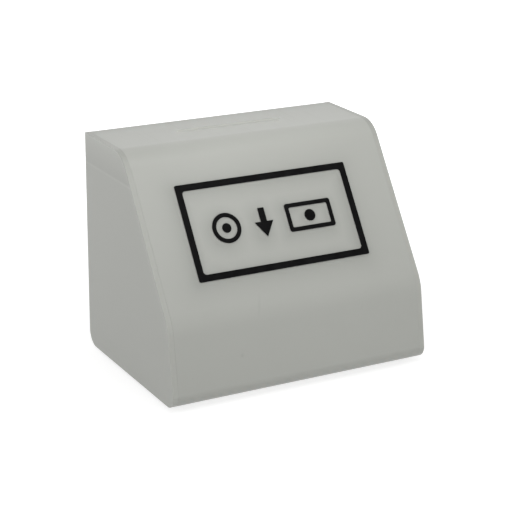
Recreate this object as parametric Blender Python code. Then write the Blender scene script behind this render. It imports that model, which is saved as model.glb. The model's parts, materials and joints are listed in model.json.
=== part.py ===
"""Counter tip box of opal sheet: a bent wrap between two flat cheeks, a money slot and a locking rear door.

Sizes are in metres. X runs to the right as seen from the front, Y from the front to the back and Z up.
Shapes are worked out in case coordinates, whose origin is where the planes of the base and the lower front
meet, and case_frame then carries them over the middle of the floor that the whole object covers.
"""

import math

import bmesh
import bpy
from mathutils import Vector

# Case
case_width = 0.2
case_depth = 0.141
case_height = 0.159
sheet = 0.004
knee_height = 0.0567
knee_setback = 0.0093
slope_top_setback = 0.0789
top_bend_radius = 0.022
knee_bend_radius = 0.036
front_bend_radius = 0.009
rear_bend_radius = 0.011
sill_height = 0.032

# Slot in the top
slot_length = 0.0825
slot_width = 0.006
slot_to_back = 0.0275

# Clearances
seat_gap = 0.0003
door_gap = 0.0008
door_rest_gap = 0.0005
cut_overrun = 0.002

# Strips glued inside the top
collar_depth = 0.0205
rail_thickness = 0.008

# Rear door
door_corner_radius = 0.0015

# Hinge
hinge_to_side = 0.015
knuckle_radius = 0.0022
knuckle_gap = 0.0004
leaf_thickness = 0.0009
leaf_reach = 0.0135
pin_radius = 0.00095
knuckle_count = 9
hinge_screw_setback = 0.0085
hinge_screw_shares = (-0.42, 0.0, 0.42)

# Hinge screws and nuts
screw_radius = 0.0015
screw_head_radius = 0.0028
screw_head_height = 0.0017
screw_tip = 0.0006
nut_half_width = 0.00275
nut_height = 0.0024

# Lock
lock_body_radius = 0.008
lock_body_half_flat = 0.0069
lock_face_radius = 0.0105
lock_face_height = 0.0024
lock_face_chamfer = 0.0008
lock_nut_half_width = 0.01
lock_nut_height = 0.003
lock_washer_radius = 0.0108
lock_washer_height = 0.0008
lock_rail_clearance = 0.0015
cam_rail_clearance = 0.0005
plug_radius = 0.0056
plug_collar_radius = 0.0068
plug_collar_height = 0.001
plug_tail_half = 0.003
keyway_width = 0.0018
keyway_height = 0.0072
keyway_depth = 0.007
cam_thickness = 0.002
cam_hub_radius = 0.0078
cam_half_width = 0.006
cam_reach = 0.0225
cam_washer_radius = 0.0052
cam_washer_height = 0.0008
cam_screw_radius = 0.0016
cam_screw_head_radius = 0.0038
cam_screw_head_height = 0.0021
cam_screw_length = 0.0075

# Feet
foot_radius = 0.005
foot_height = 0.002
foot_chamfer = 0.0006
foot_to_bend = 0.003
foot_to_side = 0.011

# Printed films on the slope
film_thickness = 0.0002
border_width = 0.134
border_height = 0.0692
border_stroke = 0.0047
border_outer_radius = 0.0012
border_inner_radius = 0.0024
border_shift_across = -0.0018
border_shift_up = -0.0009
motif_stroke = 0.003
motif_gap = 0.011
coin_radius = 0.0108
coin_core_radius = 0.0034
arrow_width = 0.0145
arrow_height = 0.021
arrow_head_height = 0.011
arrow_shaft_width = 0.0048
note_width = 0.0365
note_height = 0.0205
note_corner_radius = 0.0018
note_core_radius = 0.0042

# Facets of bends and round pieces
bend_steps = 14
corner_steps = 5
round_steps = 40
small_round_steps = 24

# Places worked out from the sizes above
half_width = case_width / 2
hinge_length = case_width - 2 * hinge_to_side
inner_half_width = half_width - sheet
back_inner = case_depth - sheet
top_inner = case_height - sheet
collar_bottom = case_height - collar_depth
rail_back = back_inner - door_rest_gap
rail_front = rail_back - rail_thickness
axis_back = case_depth + seat_gap + knuckle_radius
axis_height = sill_height + door_gap / 2
bore_radius = pin_radius + seat_gap
screw_hole_radius = screw_radius + seat_gap
leaf_back = case_depth + seat_gap + leaf_thickness
nut_corner = nut_half_width / math.cos(math.pi / 6)
lock_nut_corner = lock_nut_half_width / math.cos(math.pi / 6)
lock_height = collar_bottom - lock_rail_clearance - max(lock_nut_corner, lock_washer_radius)
lock_face_back = case_depth + seat_gap + lock_face_height
lock_body_end = rail_front - cam_rail_clearance + seat_gap
cam_back = lock_body_end - seat_gap
cam_front = cam_back - cam_thickness
base_level = foot_height + seat_gap


def corner_angle(before, corner, after):
    """Angle between the two straight runs that meet at a corner."""
    return (before - corner).angle(after - corner)


def bend_stations(before, corner, after, radius, steps):
    """Points round a bend, each with the unit vector that points out of the sheet there."""
    to_before = (before - corner).normalized()
    to_after = (after - corner).normalized()
    half = corner_angle(before, corner, after) / 2
    centre = corner + (to_before + to_after).normalized() * (radius / math.sin(half))
    first = corner + to_before * (radius / math.tan(half)) - centre
    turn = math.pi - 2 * half
    side = 1 if to_before.x * to_after.y - to_before.y * to_after.x > 0 else -1
    stations = []
    for step in range(steps + 1):
        angle = side * -turn * step / steps
        outward = Vector(
            (
                first.x * math.cos(angle) - first.y * math.sin(angle),
                first.x * math.sin(angle) + first.y * math.cos(angle),
            )
        ).normalized()
        stations.append((centre + outward * radius, outward))
    return stations


# Corners of the case's side outline, as (Y, Z), from the top rear edge round to the back
top_rear = Vector((case_depth, case_height))
top_front = Vector((slope_top_setback, case_height))
knee = Vector((knee_setback, knee_height))
bottom_front = Vector((0, 0))
bottom_rear = Vector((case_depth, 0))
top_bend = bend_stations(top_rear, top_front, knee, top_bend_radius, bend_steps)
knee_bend = bend_stations(top_front, knee, bottom_front, knee_bend_radius, bend_steps)
front_bend = bend_stations(knee, bottom_front, bottom_rear, front_bend_radius, bend_steps)
rear_bend = bend_stations(bottom_front, bottom_rear, top_rear, rear_bend_radius, bend_steps)
wrap_stations = (
    [(top_rear, Vector((0, 1)))]
    + top_bend
    + knee_bend
    + front_bend
    + rear_bend
    + [(Vector((case_depth, sill_height)), Vector((1, 0)))]
)

# Floor that the whole object covers, front to back, and the middle of it
front_most = min(point.x for point, outward in wrap_stations)
rear_most = axis_back + knuckle_radius
covered_middle = (front_most + rear_most) / 2

# Directions on the slope, up it and out of it, its middle, and the two faces of a film on it
slope_up = (top_front - knee).normalized()
slope_out = Vector((-slope_up.y, slope_up.x))
slope_middle = (top_front + knee) / 2
film_levels = (seat_gap, seat_gap + film_thickness)


def inset_line(stations, inset):
    """The stations' line, moved into the sheet by a distance."""
    return [point - outward * inset for point, outward in stations]


def slope_point(across, up, lift):
    """Place over the slope's outer face, from the middle of the slope."""
    flat = slope_middle + slope_up * up + slope_out * lift
    return Vector((across, flat.x, flat.y))


def clear_scene():
    """Take every object out of the scene."""
    for item in list(bpy.data.objects):
        bpy.data.objects.remove(item, do_unlink=True)


def make_material(name, colour, roughness, metallic=0.0):
    """Material with a Principled BSDF of one colour."""
    material = bpy.data.materials.new(name)
    material.use_nodes = True
    shader = material.node_tree.nodes["Principled BSDF"]
    shader.inputs["Base Color"].default_value = (*colour, 1.0)
    shader.inputs["Roughness"].default_value = roughness
    shader.inputs["Metallic"].default_value = metallic
    return material


def make_carrier(name, place, parent=None):
    """Empty at a place in case coordinates, which carries pieces."""
    carrier = bpy.data.objects.new(name, None)
    bpy.context.scene.collection.objects.link(carrier)
    carrier["place"] = list(place)
    carrier.parent = parent
    carrier.location = place - Vector(parent["place"]) if parent else place
    return carrier


def add_piece(name, shape, material, origin, carrier):
    """Object from a shape in case coordinates, with its origin at a place and riding on a carrier."""
    bmesh.ops.recalc_face_normals(shape, faces=shape.faces)
    bmesh.ops.translate(shape, vec=-origin, verts=shape.verts)
    mesh = bpy.data.meshes.new(name)
    shape.to_mesh(mesh)
    shape.free()
    mesh.shade_smooth()
    mesh.set_sharp_from_angle(angle=math.radians(30))
    mesh.materials.append(material)
    piece = bpy.data.objects.new(name, mesh)
    bpy.context.scene.collection.objects.link(piece)
    piece.parent = carrier
    piece.location = origin - Vector(carrier["place"])
    return piece


def add_guide(name, shape, origin, carrier):
    """Shape that only cuts or joins another, left out of the model."""
    guide = add_piece(name, shape, finish["steel"], origin, carrier)
    guide.hide_render = True
    guide.display_type = "WIRE"
    return guide


def combine(piece, guide, operation):
    """Cut a guide out of a piece, or join it on."""
    modifier = piece.modifiers.new(guide.name, "BOOLEAN")
    modifier.operation = operation
    modifier.solver = "EXACT"
    modifier.object = guide


def loft(rings, closed):
    """Skin over rings of as many points, closed on itself or with a cap at each end."""
    shape = bmesh.new()
    rows = [[shape.verts.new(point) for point in ring] for ring in rings]
    pairs = list(zip(rows, rows[1:]))
    if closed:
        pairs.append((rows[-1], rows[0]))
    else:
        shape.faces.new(rows[0])
        shape.faces.new(rows[-1])
    for low, high in pairs:
        for index in range(len(low)):
            after = (index + 1) % len(low)
            shape.faces.new((low[index], low[after], high[after], high[index]))
    return shape


def prism(outline, way):
    """Flat outline extruded by a vector."""
    shape = bmesh.new()
    face = shape.faces.new([shape.verts.new(point) for point in outline])
    extruded = bmesh.ops.extrude_face_region(shape, geom=[face])["geom"]
    moved = [item for item in extruded if isinstance(item, bmesh.types.BMVert)]
    bmesh.ops.translate(shape, vec=way, verts=moved)
    return shape


def prism_across(outline, low, high):
    """Side outline of (Y, Z) points carried across from one X to another."""
    return prism([Vector((low, point.x, point.y)) for point in outline], Vector((high - low, 0, 0)))


def plate_back(outline, low, high):
    """Front outline of (X, Z) points carried back from one Y to another."""
    return prism([Vector((point.x, low, point.y)) for point in outline], Vector((0, high - low, 0)))


def merged(shapes):
    """Several shapes in one mesh, as separate bodies for a guide."""
    total = bmesh.new()
    for shape in shapes:
        mesh = bpy.data.meshes.new("merged")
        shape.to_mesh(mesh)
        shape.free()
        total.from_mesh(mesh)
        bpy.data.meshes.remove(mesh)
    return total


def round_shape(radius):
    """Radius of a circle at any angle."""
    return lambda angle: radius


def flat_shape(radius, half_flat):
    """Radius of a circle with two flats, left and right."""
    return lambda angle: min(radius, half_flat / max(abs(math.cos(angle)), half_flat / radius))


def polygon_shape(half_width_of_flat, sides):
    """Radius of a regular polygon, measured across its flats."""
    sector = 2 * math.pi / sides

    def radius_at(angle):
        return half_width_of_flat / math.cos((angle + sector / 2) % sector - sector / 2)

    return radius_at


def turned(rows, steps, centre, axis, closed=False):
    """Solid round an axis through a centre: each row has its place along the axis and its ring's shape."""
    rings = []
    for along, shape_at in rows:
        ring = []
        for step in range(steps):
            angle = 2 * math.pi * step / steps
            radius = shape_at(angle)
            first = radius * math.cos(angle)
            second = radius * math.sin(angle)
            if axis == "X":
                ring.append(centre + Vector((along, first, second)))
            elif axis == "Y":
                ring.append(centre + Vector((first, along, second)))
            else:
                ring.append(centre + Vector((first, second, along)))
        rings.append(ring)
    return loft(rings, closed)


def rounded_rectangle(middle, width, height, radius):
    """Rectangle with round corners, as points from its lower right corner round."""
    points = []
    for corner, (side, level) in enumerate(((1, -1), (1, 1), (-1, 1), (-1, -1))):
        centre = middle + Vector((side * (width / 2 - radius), level * (height / 2 - radius)))
        for step in range(corner_steps + 1):
            angle = math.pi / 2 * (corner - 1 + step / corner_steps)
            points.append(centre + Vector((radius * math.cos(angle), radius * math.sin(angle))))
    return points


def circle(middle, radius, steps):
    """Circle as points."""
    angles = [2 * math.pi * step / steps for step in range(steps)]
    return [middle + Vector((radius * math.cos(angle), radius * math.sin(angle))) for angle in angles]


def film_sheet(outline):
    """Thin film on the slope with one outline."""
    low, high = film_levels
    way = slope_point(0, 0, high) - slope_point(0, 0, low)
    return prism([slope_point(point.x, point.y, low) for point in outline], way)


def film_ring(outer, inner):
    """Thin film on the slope between two outlines of as many points."""
    rings = []
    for outline, levels in ((outer, film_levels), (inner, film_levels[::-1])):
        for lift in levels:
            rings.append([slope_point(point.x, point.y, lift) for point in outline])
    return loft(rings, True)


def make_wrap():
    """Bent sheet: top, slope, lower front, base and rear sill, with the slot and the sill's screw holes."""
    outline = inset_line(wrap_stations, 0) + inset_line(wrap_stations, sheet)[::-1]
    reach = inner_half_width - seat_gap
    sheet_shape = prism_across(outline, -reach, reach)
    wrap = add_piece("wrap_shell", sheet_shape, finish["opal"], case_origin, case_frame)
    slot_middle = Vector((0, case_depth - slot_to_back))
    slot_outline = rounded_rectangle(slot_middle, slot_length, slot_width, slot_width / 2)
    slot_floor = top_inner - cut_overrun
    way = Vector((0, 0, case_height + cut_overrun - slot_floor))
    slot = prism([Vector((point.x, point.y, slot_floor)) for point in slot_outline], way)
    combine(wrap, add_guide("slot_cutter", slot, case_origin, case_frame), "DIFFERENCE")
    holes = screw_hole_guide("sill_hole_cutter", -1, back_inner, case_depth, case_frame)
    combine(wrap, holes, "DIFFERENCE")


def make_cheeks():
    """Flat side panels that cover the ends of the wrap."""
    outline = inset_line(top_bend + knee_bend + front_bend + rear_bend, 0) + [top_rear]
    for name, side in (("left_cheek", -1), ("right_cheek", 1)):
        low, high = sorted((side * inner_half_width, side * half_width))
        add_piece(name, prism_across(outline, low, high), finish["opal"], case_origin, case_frame)


def make_collar():
    """Strips glued under the top: one along each cheek, and the rear rail that the door shuts against."""
    inset = sheet + seat_gap
    upper = top_inner - seat_gap
    slope_angle = math.atan2(slope_up.y, slope_up.x)
    slope_back = knee_setback + (collar_bottom - knee_height) / math.tan(slope_angle)
    slope_back += inset / math.sin(slope_angle)
    outline = [Vector((rail_front - seat_gap, collar_bottom)), Vector((rail_front - seat_gap, upper))]
    outline += inset_line(top_bend, inset)
    outline.append(Vector((slope_back, collar_bottom)))
    for name, side in (("left_top_gusset", -1), ("right_top_gusset", 1)):
        outer = inner_half_width - seat_gap
        low, high = sorted((side * outer, side * (outer - sheet)))
        add_piece(name, prism_across(outline, low, high), finish["opal"], case_origin, case_frame)
    reach = inner_half_width - seat_gap
    corners = [(rail_front, collar_bottom), (rail_back, collar_bottom)]
    corners += [(rail_back, upper), (rail_front, upper)]
    rail = prism_across([Vector(corner) for corner in corners], -reach, reach)
    add_piece("rear_catch_rail", rail, finish["opal"], case_origin, case_frame)


def screw_places(side):
    """Places of the hinge screws on the axis of the leaf above, side 1, or below, side -1."""
    level = axis_height + side * hinge_screw_setback
    return [Vector((share * hinge_length, 0, level)) for share in hinge_screw_shares]


def screw_hole_guide(name, side, low, high, carrier):
    """Guide for the screw holes of one leaf, or of the sheet that it lies on."""
    hole = round_shape(screw_hole_radius)
    rows = [(low - cut_overrun, hole), (high + cut_overrun, hole)]
    holes = [turned(rows, small_round_steps, place, "Y") for place in screw_places(side)]
    return add_guide(name, merged(holes), Vector(carrier["place"]), carrier)


def make_door():
    """Rear door, inset between the cheeks and flush with their rear edges."""
    bottom = sill_height + door_gap
    top = top_inner - door_gap
    width = 2 * (inner_half_width - door_gap)
    middle = Vector((0, (bottom + top) / 2))
    outline = rounded_rectangle(middle, width, top - bottom, door_corner_radius)
    panel = plate_back(outline, back_inner, case_depth)
    door = add_piece("rear_door", panel, finish["opal"], hinge_place, door_axis)
    holes = screw_hole_guide("door_hole_cutter", 1, back_inner, case_depth, door_axis)
    combine(door, holes, "DIFFERENCE")
    bore = flat_shape(lock_body_radius + seat_gap, lock_body_half_flat + seat_gap)
    rows = [(back_inner - cut_overrun, bore), (case_depth + cut_overrun, bore)]
    hole = turned(rows, round_steps, lock_line, "Y")
    combine(door, add_guide("lock_hole_cutter", hole, hinge_place, door_axis), "DIFFERENCE")


def leaf_outline(side, first_knuckle):
    """Comb outline of a hinge leaf, with a tab at every second knuckle."""
    pitch = hinge_length / knuckle_count
    root = axis_height + side * (knuckle_radius + knuckle_gap)
    edge = axis_height + side * leaf_reach
    end = hinge_length / 2
    corners = [(end, root), (end, edge), (-end, edge), (-end, root)]
    for knuckle in range(first_knuckle, knuckle_count, 2):
        low, high = knuckle_span(knuckle, pitch)
        corners += [(low, root), (low, axis_height), (high, axis_height), (high, root)]
    points = [Vector(corner) for corner in corners]
    cleaned = [points[0]]
    for point in points[1:]:
        if (point - cleaned[-1]).length > knuckle_gap / 2:
            cleaned.append(point)
    if (cleaned[-1] - cleaned[0]).length < knuckle_gap / 2:
        cleaned.pop()
    return cleaned


def knuckle_span(knuckle, pitch):
    """Low and high X of one knuckle: the outer ends of the hinge are flush, the rest keep a gap."""
    low = -hinge_length / 2 + knuckle * pitch
    high = low + pitch
    if knuckle > 0:
        low += knuckle_gap / 2
    if knuckle < knuckle_count - 1:
        high -= knuckle_gap / 2
    return low, high


def make_leaf(name, side, first_knuckle, carrier):
    """Hinge leaf with its knuckles, bore and screw holes."""
    pitch = hinge_length / knuckle_count
    origin = Vector(carrier["place"])
    plate = plate_back(leaf_outline(side, first_knuckle), case_depth + seat_gap, leaf_back)
    leaf = add_piece(name, plate, finish["steel"], origin, carrier)
    tubes = []
    for knuckle in range(first_knuckle, knuckle_count, 2):
        low, high = knuckle_span(knuckle, pitch)
        rows = [(low, round_shape(knuckle_radius)), (high, round_shape(knuckle_radius))]
        tubes.append(turned(rows, small_round_steps, hinge_place, "X"))
    combine(leaf, add_guide(name + "_knuckle_guide", merged(tubes), origin, carrier), "UNION")
    ends = hinge_length / 2 + cut_overrun
    rows = [(-ends, round_shape(bore_radius)), (ends, round_shape(bore_radius))]
    bore = turned(rows, small_round_steps, hinge_place, "X")
    combine(leaf, add_guide(name + "_bore_cutter", bore, origin, carrier), "DIFFERENCE")
    holes = screw_hole_guide(name + "_hole_cutter", side, case_depth + seat_gap, leaf_back, carrier)
    combine(leaf, holes, "DIFFERENCE")


def make_hinge():
    """Hinge: a leaf on the sill, a leaf on the door, and the pin."""
    make_leaf("hinge_sill_leaf", -1, 0, case_frame)
    make_leaf("hinge_door_leaf", 1, 1, door_axis)
    ends = hinge_length / 2
    rows = [(-ends, round_shape(pin_radius)), (ends, round_shape(pin_radius))]
    pin = turned(rows, small_round_steps, hinge_place, "X")
    add_piece("hinge_pin", pin, finish["steel"], hinge_place, case_frame)


def make_hinge_fasteners():
    """Screws through each leaf and its sheet, with a nut inside."""
    under_head = leaf_back + seat_gap
    nut_back = back_inner - seat_gap
    nut_front = nut_back - nut_height
    head = [
        (under_head, round_shape(screw_head_radius)),
        (under_head + screw_head_height / 2, round_shape(screw_head_radius)),
        (under_head + screw_head_height, round_shape(screw_radius)),
    ]
    shank = [(nut_front - screw_tip, round_shape(screw_radius)), (under_head, round_shape(screw_radius))]
    hexagon = polygon_shape(nut_half_width, 6)
    hole = round_shape(screw_hole_radius)
    nut = [(nut_front, hexagon), (nut_back, hexagon), (nut_back, hole), (nut_front, hole)]
    for place_name, side, carrier in (("sill", -1, case_frame), ("door", 1, door_axis)):
        for number, place in enumerate(screw_places(side), start=1):
            origin = Vector((place.x, case_depth, place.z))
            screw = turned(shank + head, small_round_steps, place, "Y")
            add_piece(f"{place_name}_screw_{number}", screw, finish["steel"], origin, carrier)
            shape = turned(nut, small_round_steps, place, "Y", closed=True)
            add_piece(f"{place_name}_nut_{number}", shape, finish["steel"], origin, carrier)


def make_lock_housing():
    """Lock housing with its face ring, and the nut and washer that clamp it in the door."""
    outer = flat_shape(lock_body_radius, lock_body_half_flat)
    ring = round_shape(lock_face_radius)
    ring_edge = round_shape(lock_face_radius - lock_face_chamfer)
    bore = round_shape(plug_radius + seat_gap)
    recess = round_shape(plug_collar_radius + seat_gap)
    recess_floor = lock_face_back - plug_collar_height - seat_gap
    rows = [
        (lock_body_end, outer),
        (case_depth + seat_gap, outer),
        (case_depth + seat_gap, ring),
        (lock_face_back - lock_face_chamfer, ring),
        (lock_face_back, ring_edge),
        (lock_face_back, recess),
        (recess_floor, recess),
        (recess_floor, bore),
        (lock_body_end, bore),
    ]
    housing = turned(rows, round_steps, lock_line, "Y", True)
    add_piece("lock_body", housing, finish["chrome"], lock_place, door_axis)
    hole = round_shape(lock_body_radius + seat_gap)
    washer_back = back_inner - seat_gap
    washer_front = washer_back - lock_washer_height
    rim = round_shape(lock_washer_radius)
    rows = [(washer_front, rim), (washer_back, rim), (washer_back, hole), (washer_front, hole)]
    washer = turned(rows, round_steps, lock_line, "Y", True)
    add_piece("lock_washer", washer, finish["steel"], lock_place, door_axis)
    nut_back = washer_front - seat_gap
    nut_front = nut_back - lock_nut_height
    hexagon = polygon_shape(lock_nut_half_width, 6)
    rows = [(nut_front, hexagon), (nut_back, hexagon), (nut_back, hole), (nut_front, hole)]
    nut = turned(rows, round_steps // 6 * 6, lock_line, "Y", True)
    add_piece("lock_nut", nut, finish["steel"], lock_place, door_axis)


def make_lock_plug():
    """Plug with its collar, keyway, square tail and screw hole."""
    body = round_shape(plug_radius)
    collar = round_shape(plug_collar_radius)
    tail = polygon_shape(plug_tail_half, 4)
    tail_end = cam_front + seat_gap
    rows = [
        (tail_end, tail),
        (lock_body_end, tail),
        (lock_body_end, body),
        (lock_face_back - plug_collar_height, body),
        (lock_face_back - plug_collar_height, collar),
        (lock_face_back, collar),
    ]
    barrel = turned(rows, round_steps, lock_line, "Y")
    plug = add_piece("lock_plug", barrel, finish["chrome"], lock_place, lock_axis)
    keyway = rounded_rectangle(Vector((0, lock_height)), keyway_width, keyway_height, keyway_width / 4)
    shape = plate_back(keyway, lock_face_back - keyway_depth, lock_face_back + cut_overrun)
    combine(plug, add_guide("keyway_cutter", shape, lock_place, lock_axis), "DIFFERENCE")
    hole = round_shape(cam_screw_radius + seat_gap)
    hole_end = cam_front - seat_gap - cam_washer_height - seat_gap + cam_screw_length + seat_gap
    rows = [(tail_end - cut_overrun, hole), (hole_end, hole)]
    shape = turned(rows, small_round_steps, lock_line, "Y")
    combine(plug, add_guide("cam_screw_hole_cutter", shape, lock_place, lock_axis), "DIFFERENCE")


def cam_outline():
    """Outline of the cam: a round hub and an arm with a round end, pointing to +X."""
    lean = math.asin(cam_half_width / cam_hub_radius)
    centre = Vector((0, lock_height))
    tip = centre + Vector((cam_reach - cam_half_width, 0))
    points = []
    for step in range(small_round_steps + 1):
        angle = lean + (2 * math.pi - 2 * lean) * step / small_round_steps
        points.append(centre + Vector((math.cos(angle), math.sin(angle))) * cam_hub_radius)
    for step in range(small_round_steps // 2 + 1):
        angle = -math.pi / 2 + math.pi * step / (small_round_steps // 2)
        points.append(tip + Vector((math.cos(angle), math.sin(angle))) * cam_half_width)
    return points


def make_lock_cam():
    """Cam on the plug's square tail, with its washer and screw."""
    plate = plate_back(cam_outline(), cam_front, cam_back)
    cam = add_piece("lock_cam", plate, finish["steel"], lock_place, lock_axis)
    square = polygon_shape(plug_tail_half + seat_gap, 4)
    rows = [(cam_front - cut_overrun, square), (cam_back + cut_overrun, square)]
    hole = turned(rows, round_steps, lock_line, "Y")
    combine(cam, add_guide("cam_hole_cutter", hole, lock_place, lock_axis), "DIFFERENCE")
    washer_back = cam_front - seat_gap
    washer_front = washer_back - cam_washer_height
    outer = round_shape(cam_washer_radius)
    hole = round_shape(cam_screw_radius + seat_gap)
    rows = [(washer_front, outer), (washer_back, outer), (washer_back, hole), (washer_front, hole)]
    washer = turned(rows, small_round_steps, lock_line, "Y", True)
    add_piece("cam_washer", washer, finish["steel"], lock_place, lock_axis)
    head_back = washer_front - seat_gap
    rows = [
        (head_back - cam_screw_head_height, round_shape(cam_screw_radius)),
        (head_back - cam_screw_head_height / 2, round_shape(cam_screw_head_radius)),
        (head_back, round_shape(cam_screw_head_radius)),
        (head_back, round_shape(cam_screw_radius)),
        (head_back + cam_screw_length, round_shape(cam_screw_radius)),
    ]
    screw = turned(rows, small_round_steps, lock_line, "Y")
    add_piece("cam_screw", screw, finish["steel"], lock_place, lock_axis)


def make_feet():
    """Four round feet under the flat of the base."""
    rows = [
        (-seat_gap, round_shape(foot_radius)),
        (foot_chamfer - base_level, round_shape(foot_radius)),
        (-base_level, round_shape(foot_radius - foot_chamfer)),
    ]
    base_front = front_bend[-1][0].x
    base_rear = rear_bend[0][0].x
    edge_to_middle = foot_to_bend + foot_radius
    ends = (("front", base_front + edge_to_middle), ("rear", base_rear - edge_to_middle))
    for side_name, side in (("left", -1), ("right", 1)):
        for end_name, back in ends:
            place = Vector((side * (half_width - foot_to_side - foot_radius), back, 0))
            foot = turned(rows, small_round_steps, place, "Z")
            add_piece(f"{end_name}_{side_name}_foot", foot, finish["rubber"], place, case_frame)


def make_films():
    """Black border on the slope, and inside it plain signs for a coin, an arrow and a banknote."""
    middle = Vector((border_shift_across, border_shift_up))
    inner_width = border_width - 2 * border_stroke
    inner_height = border_height - 2 * border_stroke
    outer = rounded_rectangle(middle, border_width, border_height, border_outer_radius)
    inner = rounded_rectangle(middle, inner_width, inner_height, border_inner_radius)
    film_origin = slope_point(middle.x, middle.y, 0)
    add_piece("border_film", film_ring(outer, inner), finish["ink"], film_origin, case_frame)
    row_width = 2 * coin_radius + motif_gap + arrow_width + motif_gap + note_width
    row_start = middle.x - row_width / 2
    coin_middle = Vector((row_start + coin_radius, middle.y))
    arrow_middle = Vector((row_start + 2 * coin_radius + motif_gap + arrow_width / 2, middle.y))
    note_middle = Vector((row_start + row_width - note_width / 2, middle.y))
    coin_outer = circle(coin_middle, coin_radius, round_steps)
    coin_inner = circle(coin_middle, coin_radius - motif_stroke, round_steps)
    add_piece("motif_coin_ring", film_ring(coin_outer, coin_inner), finish["ink"], film_origin, case_frame)
    core = film_sheet(circle(coin_middle, coin_core_radius, small_round_steps))
    add_piece("motif_coin_core", core, finish["ink"], film_origin, case_frame)
    arrow = film_sheet(arrow_outline(arrow_middle))
    add_piece("motif_arrow", arrow, finish["ink"], film_origin, case_frame)
    note_outer = rounded_rectangle(note_middle, note_width, note_height, note_corner_radius)
    inner_width = note_width - 2 * motif_stroke
    inner_height = note_height - 2 * motif_stroke
    note_inner = rounded_rectangle(note_middle, inner_width, inner_height, note_corner_radius / 2)
    add_piece("motif_note_frame", film_ring(note_outer, note_inner), finish["ink"], film_origin, case_frame)
    core = film_sheet(circle(note_middle, note_core_radius, small_round_steps))
    add_piece("motif_note_core", core, finish["ink"], film_origin, case_frame)


def arrow_outline(middle):
    """Arrow that points down the slope."""
    half_shaft = arrow_shaft_width / 2
    half_head = arrow_width / 2
    top = arrow_height / 2
    shoulder = arrow_head_height - arrow_height / 2
    corners = [(half_shaft, top), (-half_shaft, top), (-half_shaft, shoulder), (-half_head, shoulder)]
    corners += [(0, -top), (half_head, shoulder), (half_shaft, shoulder)]
    return [middle + Vector(corner) for corner in corners]


clear_scene()

finish = {
    "opal": make_material("opal_sheet", (0.49, 0.5, 0.47), 0.25),
    "ink": make_material("black_film", (0.012, 0.012, 0.012), 0.45),
    "steel": make_material("hinge_steel", (0.6, 0.6, 0.58), 0.35, 1.0),
    "chrome": make_material("lock_chrome", (0.8, 0.8, 0.8), 0.15, 1.0),
    "rubber": make_material("foot_rubber", (0.03, 0.03, 0.03), 0.8),
}

case_origin = Vector((0, 0, 0))
hinge_place = Vector((0, axis_back, axis_height))
lock_place = Vector((0, case_depth, lock_height))
lock_line = Vector((0, 0, lock_height))

case_frame = make_carrier("case_frame", case_origin)
door_axis = make_carrier("door_axis", hinge_place, case_frame)
lock_axis = make_carrier("lock_axis", lock_place, door_axis)
case_frame.location = Vector((0, -covered_middle, base_level))

make_wrap()
make_cheeks()
make_collar()
make_door()
make_hinge()
make_hinge_fasteners()
make_lock_housing()
make_lock_plug()
make_lock_cam()
make_feet()
make_films()
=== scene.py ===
"""Looks of a counter tip box: an opal case with a printed front, and a hinged rear door with a cam lock.

Lengths are in metres, in the frame's own axes: X to the right as seen from the front, Y from the front to
the rear door and Z up. Every piece is a skin of rings and caps worked out with numpy. It stands for one
node of the frame, and sits at the origin with its place in its mesh.
"""

import json
import logging
from collections.abc import Callable, Sequence
from dataclasses import dataclass, field, replace
from enum import Enum
from functools import reduce
from operator import mul
from typing import Protocol

import bmesh
import bpy
import numpy as np
from mathutils import Matrix, Vector
from mathutils.geometry import tessellate_polygon


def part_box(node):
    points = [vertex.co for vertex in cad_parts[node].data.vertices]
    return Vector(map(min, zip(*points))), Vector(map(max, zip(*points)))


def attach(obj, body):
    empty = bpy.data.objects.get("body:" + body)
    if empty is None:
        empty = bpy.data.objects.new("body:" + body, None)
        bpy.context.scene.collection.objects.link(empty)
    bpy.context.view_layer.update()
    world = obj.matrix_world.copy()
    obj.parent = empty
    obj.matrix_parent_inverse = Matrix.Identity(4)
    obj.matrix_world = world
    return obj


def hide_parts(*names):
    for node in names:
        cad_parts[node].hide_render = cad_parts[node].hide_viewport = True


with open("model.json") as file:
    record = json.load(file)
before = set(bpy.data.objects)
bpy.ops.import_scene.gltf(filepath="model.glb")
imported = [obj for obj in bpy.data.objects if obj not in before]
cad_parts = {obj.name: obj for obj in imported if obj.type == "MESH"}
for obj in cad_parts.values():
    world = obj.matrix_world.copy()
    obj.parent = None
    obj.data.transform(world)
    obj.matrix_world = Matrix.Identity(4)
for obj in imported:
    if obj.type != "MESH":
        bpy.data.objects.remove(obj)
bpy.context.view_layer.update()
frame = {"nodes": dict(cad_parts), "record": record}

log = logging.getLogger("tip_box")

Array = np.ndarray
Placing = Callable[[Array], Array]
Colour = tuple[float, float, float, float]

FULL_TURN = 2 * np.pi
QUARTER_TURN = np.pi / 2
SHARP_ANGLE = np.radians(32)
COINCIDENT = 1e-6
EDGE_ATTRIBUTE = "cut_edge"
# Point attribute with the share of painted glow, emission on cut edges that stands in for light.
PAINTED_GLOW_ATTRIBUTE = "edge_glow"
SCREW_NUMBERS = (1, 2, 3)
SCREW_HOLE_RADIUS = 0.0018
SCREW_HOLE_STEPS = 24


# Shapes in the flat


def ring_turn(steps: int) -> Array:
    """Angles of a ring's points: 2 pi k / steps."""
    return np.arange(steps) * FULL_TURN / steps


def polar(radius: Array | float, turn: Array) -> Array:
    """Points in the flat: radius (cos t, sin t)."""
    return np.column_stack([radius * np.cos(turn), radius * np.sin(turn)])


def circle(radius: float, steps: int, centre: Sequence[float] = (0.0, 0.0)) -> Array:
    """Circle about a centre, counter-clockwise."""
    return np.asarray(centre) + polar(radius, ring_turn(steps))


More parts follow.
